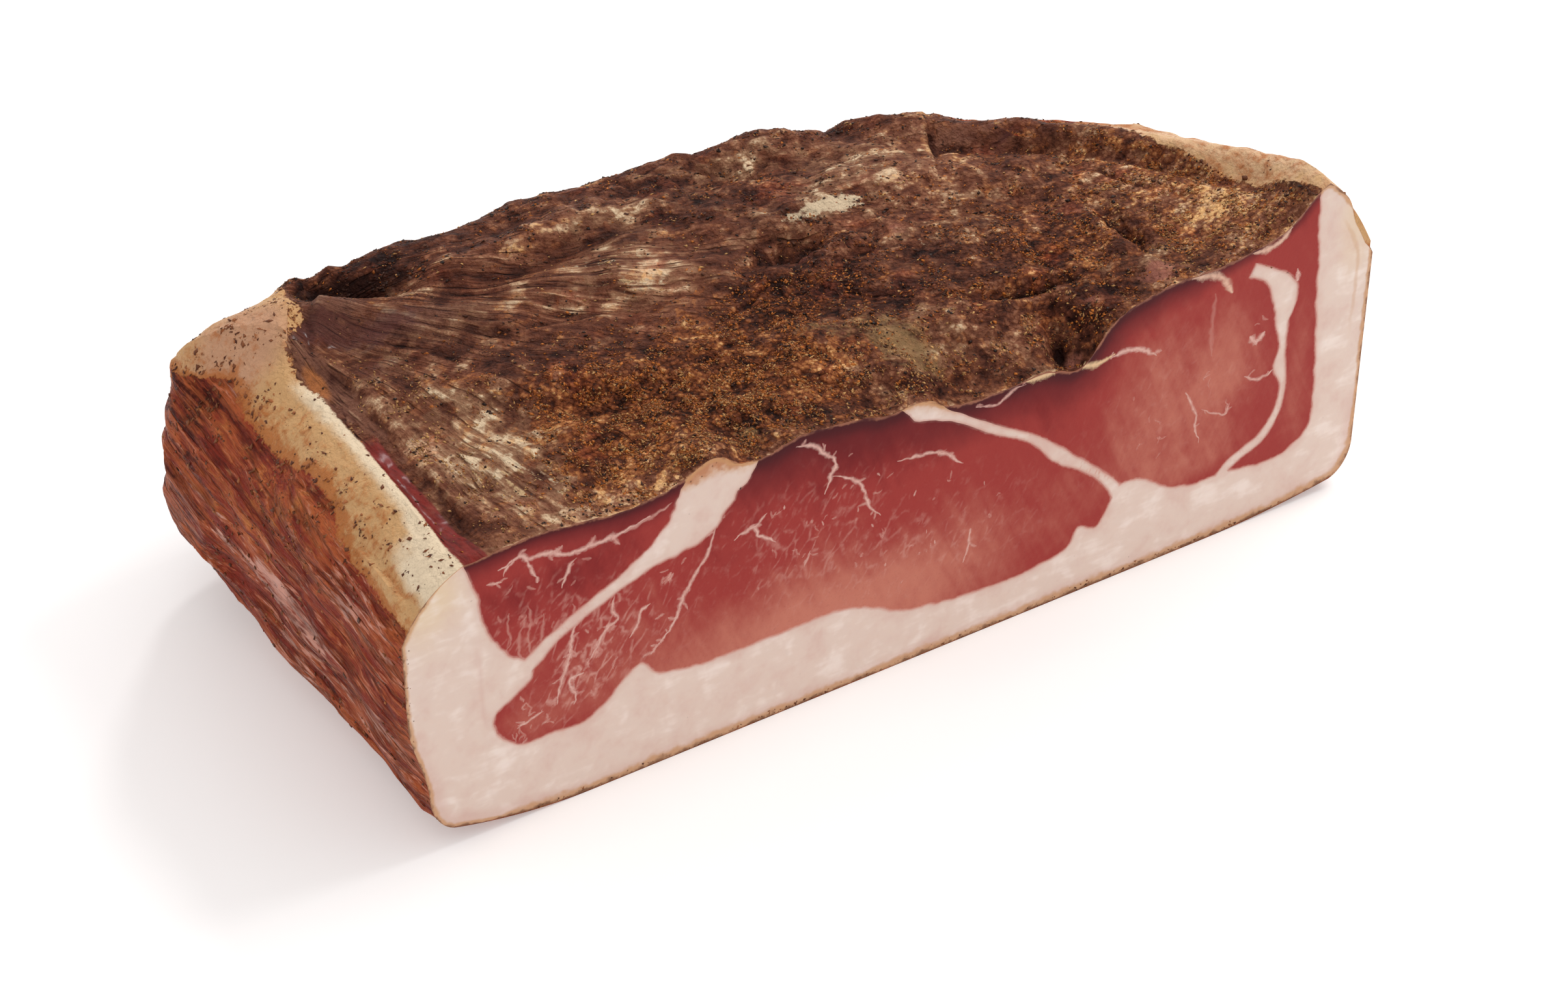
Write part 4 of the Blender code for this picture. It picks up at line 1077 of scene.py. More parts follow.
spots = dict(
    fanned=relief["fanSpots"],
    tissue=relief["smoothSpots"],
    rusty=[
        (82, 26, 32, 20, 0, 0.95), (190, 30, 30, 30, 0, 0.4), (106, 20, 20, 18, 0, 0.5),
        (120, 46, 20, 12, 0, 0.55), (60, 30, 16, 22, 0, 0.45), (235, 40, 20, 40, 0, 0.4),
    ],
    grey=[
        (38, 40, 18, 34, 0, 0.85), (180, 55, 20, 16, -20, 0.55), (172, 92, 24, 14, -10, 0.6),
        (113, 100, 18, 12, 0, 0.7), (100, 73, 22, 18, -30, 0.6), (146, 110, 18, 10, 0, 0.6),
        (55, 88, 24, 12, -6, 0.6), (150, 78, 18, 10, 0, 0.55), (145, 20, 22, 18, 0, 0.5),
        (205, 10, 20, 12, 0, 0.5), (225, 60, 20, 30, 0, 0.4),
    ],
    light=[
        (40, 34, 20, 30, 0, 0.4), (98, 78, 18, 18, -30, 0.3), (110, 66, 10, 12, 0, 0.25),
        (112, 107, 14, 8, 0, 0.35), (174, 80, 26, 24, -10, 0.55), (60, 6, 26, 8, 0, 0.44),
        (138, 98, 20, 12, 0, -0.25), (28, 36, 6, 34, 0, 0.3), (238, 22, 12, 20, 0, 0.2),
        (146, 14, 30, 12, 0, 0.26), (232, 36, 20, 40, 0, 0.48), (150, 112, 20, 8, 0, 0.25),
        (64, 102, 24, 8, -4, 0.3), (46, 118, 22, 7, -20, -0.45), (250, 30, 14, 26, 0, 0.15),
        (66, 18, 16, 10, 0, -0.02), (130, 55, 18, 12, 0, -0.3), (82, 95, 30, 5, 0, -0.25),
        (70, 60, 24, 10, -10, -0.1), (150, 40, 16, 10, 0, -0.2),
    ],
    olive=[(140, 18, 9, 14, 10, 0.85), (124, 30, 8, 6, -30, 0.6), (92, 8, 5, 6, 0, 0.6)],
    scales=[
        (36, 34, 14, 30, 0, 0.8), (100, 78, 18, 20, -30, 0.62), (48, 12, 14, 10, 0, 0.6),
        (165, 12, 30, 10, 0, 0.55), (228, 26, 18, 34, 0, 0.75), (108, 12, 10, 8, 0, 0.6),
    ],
    gilded=[
        (80, 22, 34, 20, 0, 0.9), (36, 34, 14, 30, 0, 0.8), (100, 78, 18, 18, -30, 0.35),
        (228, 26, 18, 34, 0, 0.7), (150, 12, 50, 12, 0, 0.5), (28, 60, 10, 36, 0, 0.7),
    ],
    white=[
        (153, 76, 10, 3.2, 4, 1.1), (161, 73.5, 5, 3, 0, 0.7), (104, 68, 12, 4, -35, 0.52),
        (96, 84, 10, 3, -30, 0.5), (110, 109, 10, 3, 0, 0.55), (41, 30, 2.2, 10, 14, 0.75),
        (44.5, 18, 2, 6, 20, 0.6), (168, 52, 4, 3, 0, 0.5),
    ],
    pinks=[
        (206, 7, 6, 5, 0, 0.9), (165, 58, 6, 4, 0, 0.55), (178, 3, 4, 4, 0, 0.7), (187, 10, 5, 3, 0, 0.5),
    ],
    # where near-black is painted into the cracks, the cleft and the deep dips of the crust, as painted shade;
    # the dark spice grains gather there too
    pit=[
        (137, 64, 8, 2, 8, 0.95), (147, 61, 6, 1.6, -12, 0.8), (178, 22, 11, 1.3, -14, 1),
        (212, 28, 1.7, 12, -4, 1), (177, 6, 2.4, 6, -18, 0.9), (44, 114.5, 18, 4.2, -30, 1.3),
        (182, 113, 3, 5, 0, 0.5), (92, 96.5, 26, 1.4, 4, 0.8), (247, 8, 2.2, 10, 0, 0.9),
        (75, 70, 16, 1, -12, 0.6), (90, 10, 1.4, 6, 0, 0.6), (200, 50, 10, 1.2, -30, 0.6),
    ],
    purple=[
        (29, 101, 6, 6, 0, 0.9), (42, 92, 14, 6, -10, 0.75), (32, 78, 10, 10, 0, 0.5),
        (141, 61, 9, 4.5, 8, 0.6), (215, 85, 10, 8, 0, 0.5),
    ],
    orange=[(20.5, 84, 2.2, 9, 0, 0.95)],
    pinkish=[(12, 108, 16, 14, 0, 1)],
    amber=[(230, 88, 36, 34, 0, 1.2), (253, 48, 10, 30, 0, 1), (252, 12, 8, 20, 0, 0.6)],
    stained=[
        (5, 44, 5, 60, 0, 0.45), (12, 4, 8, 6, 0, 0.3), (3, 85, 8, 30, 0, 0.45), (225, 92, 34, 24, 0, 0.62),
        (256, 60, 12, 35, 0, 0.55), (205, 110, 30, 18, 0, 0.55), (250, 20, 6, 20, 0, 0.4),
    ],
    ochre=[(-4, 70, 20, 40, 0, 0.4), (262, 30, 20, 40, 0, 0.9)],
    # the mauve painted sheen on the left wall, a reflection on the wet rind: how far back, how high
    paintedSheen=[
        (24, 28, 34, 12, 8, 0.5), (62, 36, 26, 5, 6, 0.75), (22, 58, 20, 8, 4, 0.45),
        (60, 20, 30, 8, 6, 0.3),
    ],
    # on the cut: cream places of the fat, and where a seam of fat is browned
    cream=[(4, 72, 12, 14, 0, 0.8), (262, 80, 8, 20, 0, 0.5)],
    browned=[(75, 79, 8, 6, 0, 1)],
    crusty=("fanned", "tissue", "rusty", "grey", "light", "olive", "scales", "white", "pinks", "pit",
            "purple", "orange"),
)
bare = dict(wide=6.0, narrower=2.0, over=(0, 30), soft=1.5, ends=(66, 45))      # the strip along the band
walls = dict(
    # where the rind ends and the band begins on the left wall: how far back, how high
    top=[
        (0, 65.5), (17, 66), (31, 66.5), (43, 68.5), (50, 69.5), (59, 69), (68, 66), (78, 64), (94, 65),
        (105, 68), (116, 65), (135, 56),
    ],
    uneven=[(1.0, 9.0, 2.6), (0.5, 3.0, 7.2)],
    left=dict(soft=3.4, drop=4.5, dropFrom=(95, 120), ends=(80, 60)),
    back=dict(level=(70.5, 67.5), drop=4.5, starts=(60, 80)),
    right=dict(level=72, rise=4, over=(0, 20), soft=3.5, starts=(120, 160)),
    # on the back the crust runs a little over the fat, with a ragged edge
    crust=dict(behind=60, reach=(8.0, 5.4), ragged=6.5, where=[("z", 75, 68), ("y", 85, 105)], depth=4.0),
)
bounds = dict(
    leanWall=[("z", 70, 64)], raggedBack=[("y", 60, 95)], raggedRight=[("x", 120, 180)],
    foot=[("z", 40, 20)], footRind=[("z", 20, 6), ("x", 10, 40)], topLeft=[("z", 70, 76), ("x", 30, 20)],
    browning=[("x", 60, 66), ("x", 246, 242)], innerLine=[("x", 256, 259), ("z", 45, 60)],
    pinkLine=[("z", 24, 34), ("z", 60, 50)], whiteSide=[("past", 6.0, 1.0), ("y", 98, 80)],
    whiteFront=[("y", 30, 10), ("past", 12.5, 8.5)], whiteLeft=[("x", 100, 60)],
    ochre=[("z", 20, 50)], paintedSheen=[("x", 60, 30)], darkerBack=[("y", 70, 115)], darkerFoot=[("z", 30, 10)],
)


amounts = dict(
    spotLeast=-1, spotMost=1.2, hollow=4, hollowMost=1.5, raggedRight=0.6, leanWall=6.0, farUnder=9.0,
    rindWidth=1.1, footRind=1.1, topLeft=-0.8, darkerBack=0.55, darkerFoot=0.30,
    pinkLine=dict(place=16.5, lean=0.03, level=45, width=0.6),      # a faint line near the left corner
)


def hollows(thing, rounds=3):
    # how far each point lies in a dip of the surface, smoothed a little; the crust is painted darker by it,
    # as painted shade in its dips
    points = pointsOf(thing)
    count = len(points)
    edge = readAll(thing.data.edges, "vertices", 2, np.int32)
    ends = np.concatenate([edge, edge[:, ::-1]])
    share = np.maximum(np.bincount(ends[:, 0], minlength=count), 1)
    around = points
    for _ in range(rounds):
        around = np.stack([np.bincount(ends[:, 0], v[ends[:, 1]], count) / share for v in around.T], 1)
    return ((around - points) * readAll(thing.data.vertices, "normal")).sum(1)


def meeting(lean, fat, thing, behind=None, far=20.0):
    # distance of a piece's points from where both pieces meet, on the cut or behind some depth
    def asked(y):
        return y < cutFace["near"] if behind is None else y > behind

    both = []
    for piece in (lean, fat):
        points = pointsOf(piece)
        both.append(set(map(tuple, np.round(points[asked(points[:, 1])] / mm).astype(int))))
    shared = sorted(both[0] & both[1])
    line = KDTree(len(shared))
    for k, point in enumerate(shared):
        line.insert(Vector(point) * mm, k)
    line.balance()
    points = pointsOf(thing)
    near = asked(points[:, 1])
    return np.array([line.find(p)[2] if ask else far for p, ask in zip(map(Vector, points), near)])


def placeOnBoth(thing):
    # what the crust reads
    x, y, z = pointsOf(thing).T
    side, out = fanWays(x, y)
    store(thing, "fan", np.stack([side, out, 0 * side], 1))
    for name in spots["crusty"]:
        spotted = patches(spots[name], x, y)
        store(thing, name, np.clip(spotted, amounts["spotLeast"], amounts["spotMost"]))
    # for the painted shade in the dips of the crust
    hollow, most = hollows(thing) * amounts["hollow"], amounts["hollowMost"]
    store(thing, "hollow", np.clip(hollow, -most, most))
    raggedRight = within(bounds["raggedRight"], x=x) * amounts["raggedRight"]
    store(thing, "ragged", np.maximum(within(bounds["raggedBack"], y=y), raggedRight))
    wide = bare["wide"] - bare["narrower"] * ramp(*bare["over"], y)
    strip = ramp(wide + bare["soft"], wide - bare["soft"], crustReach(x, y)[0])
    store(thing, "bare", strip * ramp(*bare["ends"], y))


def placeOnLean(lean, cutLine):
    x, y, z = pointsOf(lean).T
    wall = amounts["leanWall"] * within(bounds["leanWall"], z=z)
    store(lean, "crusted", np.maximum(np.minimum(*crustReach(x, y)), wall))
    store(lean, "pale", patches(tone["pale"], x, z))
    store(lean, "fine", cover(tone["fine"], x, z))
    store(lean, "rim_reach", smooth(tone["rimReach"], x))
    store(lean, "under_crust", np.where(y < cutFace["near"], nearLine(x, z, cutLine), 0.0))


def placeOnFat(fat, cutLine, rind, behind):
    # cutLine and rind are the edges of the cut; behind, how far each point is from the lean at the back
    x, y, z = pointsOf(fat).T
    onCut = y < cutFace["near"]

    def bound(name):
        return within(bounds[name], x=x, y=y, z=z, past=-crustReach(x, y)[0])

    store(fat, "in_from_rind", np.where(onCut, nearLine(x, z, rind), 0.0))
    store(fat, "under_crust", np.where(onCut, nearLine(x, z, cutLine), amounts["farUnder"]))
    store(fat, "foot", bound("foot"))
    rindWidth = amounts["rindWidth"] + sum(amounts[k] * bound(k) for k in ("footRind", "topLeft"))
    store(fat, "rind_width", rindWidth)
    pink = amounts["pinkLine"]
    off = x - pink["place"] - pink["lean"] * (pink["level"] - z)
    store(fat, "pink_line", bell(off, pink["width"]) * bound("pinkLine"))
    store(fat, "browning", bound("browning"))
    store(fat, "inner_line", bound("innerLine"))
    for name in ("cream", "browned"):
        store(fat, name, patches(spots[name], x, z))

    uneven = layered(walls["uneven"], x, y, z)
    left, back, right, crust = (walls[k] for k in ("left", "back", "right", "crust"))
    level = smooth(walls["top"], y) + left["drop"] * uneven * ramp(*left["dropFrom"], y)
    leftWall = ramp(level + left["soft"], level - left["soft"], z) * ramp(*left["ends"], x)
    onRight = ramp(*right["starts"], x)
    level = right["level"] + right["rise"] * ramp(*right["over"], y)
    rightWall = ramp(right["soft"], -right["soft"], z - level) * onRight
    backWall = ramp(*back["level"], z + back["drop"] * uneven) * ramp(*back["starts"], x) * (1 - onRight)
    over = ramp(*crust["reach"], behind + crust["ragged"] * uneven) * within(crust["where"], y=y, z=z)
    store(fat, "wall", np.clip(leftWall + backWall + rightWall, 0, 1) * (1 - over))
    store(fat, "crusted", np.minimum(*crustReach(x, y)) * (1 - over) + crust["depth"] * over)
    white = np.minimum(bound("whiteSide") + bound("whiteFront"), 1)
    store(fat, "whiter", white * bound("whiteLeft"))
    for name in ("pinkish", "stained", "amber"):
        store(fat, name, cover(spots[name], x, y))
    store(fat, "ochre", cover(spots["ochre"], x, y) * bound("ochre"))
    # where the mauve painted sheen lies on the left wall
    store(fat, "paintedSheen", cover(spots["paintedSheen"], y, z) * bound("paintedSheen"))
    # the rind is darker towards the back and towards the foot
    store(fat, "backFootDarkening", sum(amounts[k] * bound(k) for k in ("darkerBack", "darkerFoot")))


def placeValues(lean, fat):
    # everything in the ham's own frame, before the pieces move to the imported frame
    alongTop = np.linspace(0, ham["cutLength"], cutFace["topPoints"])
    cutLine = np.column_stack([alongTop, smooth(ham["cutTop"], alongTop)])
    u, w = np.linspace(0, 1, cutFace["longPoints"]), np.linspace(0, 1, cutFace["highPoints"])
    ends = [placeSkin(u, 0 * u, 0 * u), placeSkin(0 * w + 1, 0 * w, w),
            placeSkin(u[::-1], 0 * u, 0 * u + 1), placeSkin(0 * w, 0 * w, w[::-1])]
    placeOnBoth(lean)
    placeOnBoth(fat)
    store(lean, "near_fat", meeting(lean, fat, lean))
    store(fat, "near_lean", meeting(lean, fat, fat))
    placeOnLean(lean, cutLine)
    behind = meeting(lean, fat, fat, walls["crust"]["behind"])
    placeOnFat(fat, cutLine, np.concatenate(ends)[:, [0, 2]], behind)


# Marbling: thin strips of fat laid into the cut, placed one by one and then grown finer

marbling = dict(
    fat=(0.690, 0.425, 0.360), faint=(0.56, 0.235, 0.190), cream=(0.76, 0.52, 0.30),
    lift=0.03, least=0.005,                         # how far in front of the cut, and the least depth
    step=0.35, seed=12, wander=[(0.42, 1.5, 4.5)],
    swell=dict(thin=0.6, thinBy=1.75, thickBy=1.2), # strips are drawn this much wider than given
    taper=dict(ends=0.25, over=(0.22, 0.28), middle=1.15, uneven=[(0.75, 1.7, 8.3)]),
    # half width, strength, creaminess, then points x, z
    lines=[
        (0.5, 1, 0, [(22.4, 73), (25.3, 73.9), (27.2, 74.7), (30.9, 73.1), (34.3, 73), (39.4, 70.6),
         (43.8, 70.4), (47.6, 70.4), (52, 70.7), (54.5, 71), (57.9, 71.8), (60.9, 72.4)]),
        (0.3, 0.8, 0, [(27.2, 74.7), (24.5, 72.6), (23.7, 70.9)]),
        (0.38, 0.9, 0, [(29.5, 73.4), (30.7, 69.5), (31.8, 66.9)]),
        (0.32, 0.9, 0, [(41.8, 68.6), (40, 66.7), (39.2, 64.8), (37.6, 61.8)]),
        (0.3, 0.8, 0, [(19.4, 70.5), (23.1, 69.5)]),
        (0.36, 0.28, 0, [(27.1, 44), (26.4, 49.2), (27.7, 55.2), (28.8, 58)]),
        (0.36, 0.3, 0, [(29.2, 46.9), (29, 52.5), (29.9, 57.5), (29.4, 60.4)]),
        (0.34, 0.28, 0, [(32.2, 48.3), (32.7, 53.6), (33.3, 56.6)]),
        (0.32, 0.25, 0, [(23.1, 49.6), (24.6, 52.2), (23.9, 56.8), (24.6, 60.3)]),
        (0.34, 0.3, 0, [(38.6, 50.5), (40.7, 53.4), (40.6, 56.2)]),
        (0.34, 0.85, 0, [(43.1, 51.8), (40.2, 48.1), (39.6, 44.5), (38.7, 40.5), (36.5, 34.8),
         (35.3, 29.2)]),
        (0.36, 0.85, 0, [(51, 53.9), (50.4, 49.8), (51.8, 47), (49.3, 45.8), (47.7, 44.3), (46.7, 42),
         (45.1, 39.9), (43.5, 37.8)]),
        (0.36, 0.9, 0, [(42.5, 35.5), (39, 34.8), (40.2, 29.2), (39.7, 27.2)]),
        (0.32, 0.8, 0, [(31.8, 29), (28.3, 27.8), (24.8, 27.1)]),
        (0.36, 0.9, 0, [(60.3, 47.7), (57.8, 46.6), (56.7, 43.2), (54.6, 40.2)]),
        (0.42, 0.9, 0, [(78, 63), (75, 55), (72, 51), (70, 48), (68, 44), (66, 39), (63, 36), (60, 33)]),
        (0.46, 1, 0, [(99.1, 76.3), (102.4, 75.6), (104.6, 74.1), (106.3, 72), (109.2, 69.1), (109.7, 66.5),
         (108.6, 64.6), (108.1, 62.4), (106.7, 60)]),
        (0.9, 1, 0, [(110.1, 67.4), (109.7, 66.3), (109, 65.4)]),
        (0.26, 0.8, 0, [(106.3, 72), (107.1, 74)]),
        (0.34, 0.9, 0, [(109.2, 64.3), (112.6, 62.4), (116.1, 59.8), (117.8, 56.7), (118.7, 53.3),
         (119.7, 50.6), (122.6, 47.5)]),
        (0.42, 1, 0, [(82.4, 56.8), (85.2, 57.8), (87.9, 58.1), (89, 55.3), (91.3, 53.8), (93.8, 51.5)]),
        (0.28, 0.8, 0, [(87.9, 58.1), (89.6, 59.2), (91.3, 60.9)]),
        (0.36, 0.9, 0, [(126.9, 61.5), (132.2, 60.6), (136.2, 60.2), (140.4, 58.3), (144, 54.7),
         (145.8, 53.4)]),
        (0.28, 0.7, 0, [(103.1, 45.2), (101.4, 41.1)]),
        (0.3, 0.8, 0, [(148.4, 32.1), (147.9, 27.9), (146.6, 23.4)]),
        (0.5, 1, 0, [(187.4, 67.6), (192.5, 68.3), (197.2, 66.6), (201.5, 63.5)]),
        (0.36, 0.8, 0, [(229.5, 46.6), (232.8, 44.6), (236.8, 44.7), (239, 46.1)]),
        (0.32, 0.8, 0, [(211.4, 48.9), (213.4, 44.4), (215.2, 40.6), (215.1, 37.6), (216.8, 31.6)]),
        (0.26, 0.7, 0, [(216.7, 41.6), (220.8, 38.9), (224.8, 37.7), (225, 40.3)]),
        (0.55, 0.12, 0, [(218.4, 75.3), (217.7, 65.3), (218.5, 56.8)]),
        (0.36, 0.8, 0, [(148.7, 68.4), (155.9, 67.1), (159.4, 69.4), (163, 69.5)]),
        (1.1, 1, 0, [(230, 58.4), (231.2, 57), (232.6, 55.3)]),
        (0.9, 1, 0, [(232.4, 55.8), (233.6, 57), (234.7, 58.3)]),
        (0.8, 1, 0, [(243.1, 68), (243.6, 70.8), (243.3, 73.6)]),
        (0.95, 1, 0.3, [(228.3, 83.2), (233, 82.6), (237.5, 83.8), (240.4, 86.6)]),
        (1.5, 1, 0.35, [(210.5, 82.4), (215.5, 81.2), (219.3, 79.6), (221.3, 77.2), (223.4, 73.6)]),
        (0.4, 0.5, 0, [(54, 70.4), (60, 71.8), (66.5, 73.6)]),
        (1.3, 1, 1, [(161, 70.6), (166, 70.2), (172.4, 69.9), (178, 69), (183.5, 67.6), (188.8, 68.6)]),
    ],
    # x, z, half width, half length, turn
    spots=[
        (106.5, 51.7, 0.4, 0.8, 20), (116.2, 51.7, 0.35, 0.7, 0), (120.3, 45.4, 0.35, 0.6, 30),
        (132.1, 50.1, 0.35, 0.9, -20), (135.7, 37.3, 0.3, 0.6, 0), (138.2, 33.1, 0.3, 0.6, 10),
        (124.1, 32.2, 0.3, 0.5, 0), (121.8, 59.6, 0.35, 0.7, 40), (148.4, 32.1, 0.4, 0.9, 0),
        (31.9, 66.6, 0.8, 0.9, 0), (96, 60.5, 0.3, 0.6, 0), (152, 45, 0.3, 0.6, 10),
    ], spotStrength=0.8,
    # x, z, half length, half width, turn; count, way in degrees, length, half width, strength
    grown=[
        (30, 54, 11, 7, 20, 7, 82, (1.6, 4.5), 0.55, 0.16),
        (36, 66, 16, 5, -5, 6, 20, (1.4, 3.4), 0.5, 0.26),
        (45, 41, 15, 8, 42, 16, 62, (1.6, 4), 0.64, 0.42), (64, 52, 13, 4, 55, 9, 50, (1.5, 4), 0.42, 0.45),
        (28, 28, 8, 5, 20, 14, 60, (1.2, 3.5), 0.4, 0.4),
        (100, 58, 22, 9, 0, 12, 60, (0.8, 2.4), 0.38, 0.34),
        (118, 48, 24, 9, 0, 12, 65, (0.8, 2.4), 0.36, 0.3),
        (130, 34, 26, 9, 0, 14, 75, (0.6, 2), 0.36, 0.3),
        (205, 45, 26, 14, 0, 8, 70, (1.2, 3.6), 0.36, 0.2),
        (232, 60, 6, 14, 0, 3, 80, (1.5, 3.5), 0.34, 0.25),
    ],
    grow=dict(spread=0.55, turn=20, bend=20, wide=(0.7, 1.3), strength=(0.7, 1.2), leastPoints=4),
    twig=dict(under=0.8, over=0.5, wide=1.6, strength=0.65, every=6.5, length=(1.2, 3.6), turn=(30, 65),
              bend=14, share=0.85, leastPoints=3),
)


def inLean(tree, x, z):
    # whether a ray from before the cut meets lean there
    hit = tree.ray_cast(Vector((x * mm, -1.0, z * mm)), Vector((0, 1, 0)))
    return hit[0] is not None and hit[0].y < cutFace["near"] * mm and hit[1].y < cutFace["rayFacing"]


def walk(tree, rng, start, way, length, bend):
    # a crooked line in short steps that ends where the lean ends
    line, step = [start], marbling["step"]
    for _ in range(max(2, round(length / step))):
        way += rng.normal(0, math.radians(bend))
        x, z = line[-1]
        x, z = x + step * math.cos(way), z + step * math.sin(way)
        if not inLean(tree, x, z):
            break
        line.append((x, z))
    return line


def placedLines():
    # the listed lines and spots, as points, half width, strength and creaminess
    swell, made = marbling["swell"], []
    for wide, strength, cream, points in marbling["lines"]:
        keys = [(s, *p) for s, p in zip(along(points), points)]
        length = sum(math.dist(a, b) for a, b in zip(points, points[1:]))
        line = smooth(keys, np.linspace(0, 1, max(4, round(length / marbling["step"]))))
        way = unit(np.gradient(line, axis=0))
        off = layered(marbling["wander"], *line.T, 0 * line[:, 0]) * (wide < marbling["twig"]["under"])
        line = line + off[:, None] * np.stack([way[:, 1], -way[:, 0]], 1)
        made.append((line, wide * swell["thinBy" if wide < swell["thin"] else "thickBy"], strength, cream))
    for x, z, wide, length, turn in marbling["spots"]:
        t = math.radians(turn + 90)
        half = np.array([math.cos(t), math.sin(t)]) * length
        line = np.array([(x, z)]) + np.linspace(-1, 1, 5)[:, None] * half
        made.append((line, wide, marbling["spotStrength"], 0.0))
    return made


def grownLines(tree, rng):
    grow, made = marbling["grow"], []
    for x, z, length, width, turn, count, way, reach, wide, strength in marbling["grown"]:
        t = math.radians(turn)
        for _ in range(count):
            a, b = rng.normal(0, grow["spread"], 2) * (length, width)
            start = (x + a * math.cos(t) - b * math.sin(t), z + a * math.sin(t) + b * math.cos(t))
            if not inLean(tree, *start):
                continue
            heading = math.radians(way + rng.normal(0, grow["turn"]) + 180 * (rng.random() < 0.5))
            line = walk(tree, rng, start, heading, rng.uniform(*reach), grow["bend"])
            if len(line) >= grow["leastPoints"]:
                made.append((np.array(line), wide * rng.uniform(*grow["wide"]),
                             strength * rng.uniform(*grow["strength"]), 0.0))
    return made


def twigs(tree, rng, stems):
    twig, made = marbling["twig"], []
    for line, wide, strength in stems:
        count = rng.poisson(len(line) * marbling["step"] / twig["every"])
        for k in rng.integers(0, len(line) - 1, count):
            way = math.atan2(*(line[k + 1] - line[k])[::-1])
            way += rng.choice((-1, 1)) * math.radians(rng.uniform(*twig["turn"]))
            branch = walk(tree, rng, tuple(line[k]), way, rng.uniform(*twig["length"]), twig["bend"])
            if len(branch) >= twig["leastPoints"]:
                made.append((np.array(branch), wide * twig["share"], strength * twig["share"], 0.0))
    return made


def marblingLines(tree):
    rng = np.random.default_rng(marbling["seed"])
    twig, placed = marbling["twig"], placedLines()
    stems = [
        (made[0], wide * twig["wide"], strength * twig["strength"])
        for made, (wide, strength, *_) in zip(placed, marbling["lines"])
        if wide < twig["under"] and strength > twig["over"]
    ]
    grown = grownLines(tree, rng)
    return placed + grown + twigs(tree, rng, stems + [line[:3] for line in grown])


def makeMarbling(lean):
    mesh, taper = lean.data, marbling["taper"]
    tree = BVHTree.FromPolygons([v.co for v in mesh.vertices], [list(p.vertices) for p in mesh.polygons])
    points, faces = [], []
    for line, wide, strength, cream in marblingLines(tree):
        way = unit(np.gradient(line, axis=0))
        side = np.stack([-way[:, 1], way[:, 0]], 1)
        share = along(line)
        start, end = taper["over"]
        thin = taper["ends"] + (1 - taper["ends"]) * ramp(0, start, share) * ramp(1, 1 - end, share)
        thin *= taper["middle"] + layered(taper["uneven"], *line.T, 0 * share)
        first = len(points)
        for p, s, t in zip(line, side, thin):
            for across in (-1, 0, 1):
                points.append((*(p + across * s * wide * t), across, strength, cream))
        overLean = [inLean(tree, *p) for p in line]
        for k in range(len(line) - 1):
            if overLean[k] and overLean[k + 1]:
                for a in (first + 3 * k, first + 3 * k + 1):
                    faces.append((a, a + 1, a + 4, a + 3))
    x, z, *values = np.array(points).T
    y = np.maximum(cutRelief(x, z) - marbling["lift"], marbling["least"])
    strips = meshFrom("marbling", np.stack([x, y, z], 1), faces)
    if strips.data.polygons[0].normal.y > 0:
        strips.data.flip_normals()
    for name, value in zip(("across", "strength", "cream"), values):
        store(strips, name, value)
    print("marbling,", len(faces), "faces")
    return strips


def marblingMaterial():
    g = Graph("marbling_fat", Roughness=0.42, IOR=1.42, Specular_IOR_Level=0.12)
    here = g.place()
    ragged, blotch = g.noise(here, 0.6, 2.0, 0.6), g.vary(here, 1.8, 2.0)
    clear = (g.value("across").size() + (ragged - 0.5) * 0.8).between(1.0, 0.0)
    strength = (g.value("strength") * (blotch * 0.35 + 1.0)).atMost(1.0)
    base = g.lay(marbling["faint"], (strength, marbling["fat"]), (g.value("cream"), marbling["cream"]))
    return g.finish(Base_Color=base, Alpha=clear * (strength * 0.55 + 0.34))


# Grains of spice on the crust and dark specks on the rind

flakes = dict(
    # per piece: how many, length, width and height as shares of it, the places with more of them
    spice_dark=dict(count=9000, size=(0.50, 1.70), wide=0.60, high=0.26, pale=(0.085, 0.028, 0.014),
                    deep=(0.014, 0.005, 0.003), base=0.30, spots="pit", seed=3),
    spice_rust=dict(count=18000, size=(0.50, 1.50), wide=0.56, high=0.28, pale=(0.50, 0.150, 0.024),
                    deep=(0.120, 0.026, 0.007), base=0.07, spots="rusty", seed=5),
    spice_tan=dict(count=11000, size=(0.50, 1.60), wide=0.42, high=0.24, pale=(0.60, 0.33, 0.120),
                   deep=(0.20, 0.075, 0.025), base=0.035, spots="gilded", seed=8),
)
flakeShape = dict(
    points=[(1, 0, 0), (0, 1, 0), (-1, 0, 0), (0, -1, 0), (0, 0, 1), (0, 0, -0.6)],
    uneven=(0.65, 1.25), jitter=0.07, tilt=0.28,
    stray=(0.9, -0.65),                # how far flakes turn from the creases, and less on the fan
    mostSmall=2.2, mostDeep=1.7,       # powers that favour small flakes and deep colours
)
spiceWeight = dict(
    reach=(-0.5, 0.5), low=[("z", 60, 68)], bare=[("past", 8.5, 5.0), ("y", 75, 50)], lessBare=0.93,
    smooth=dict(grey=0.7, purple=0.8, tissue=0.9), most=0.9, lessFanned=1.35,
    clump=[(2.4, 5.0, 3.1), (1.2, 1.9, 6.4)], clumpAll=0.5, clumpRange=(0.04, 2.4),
)
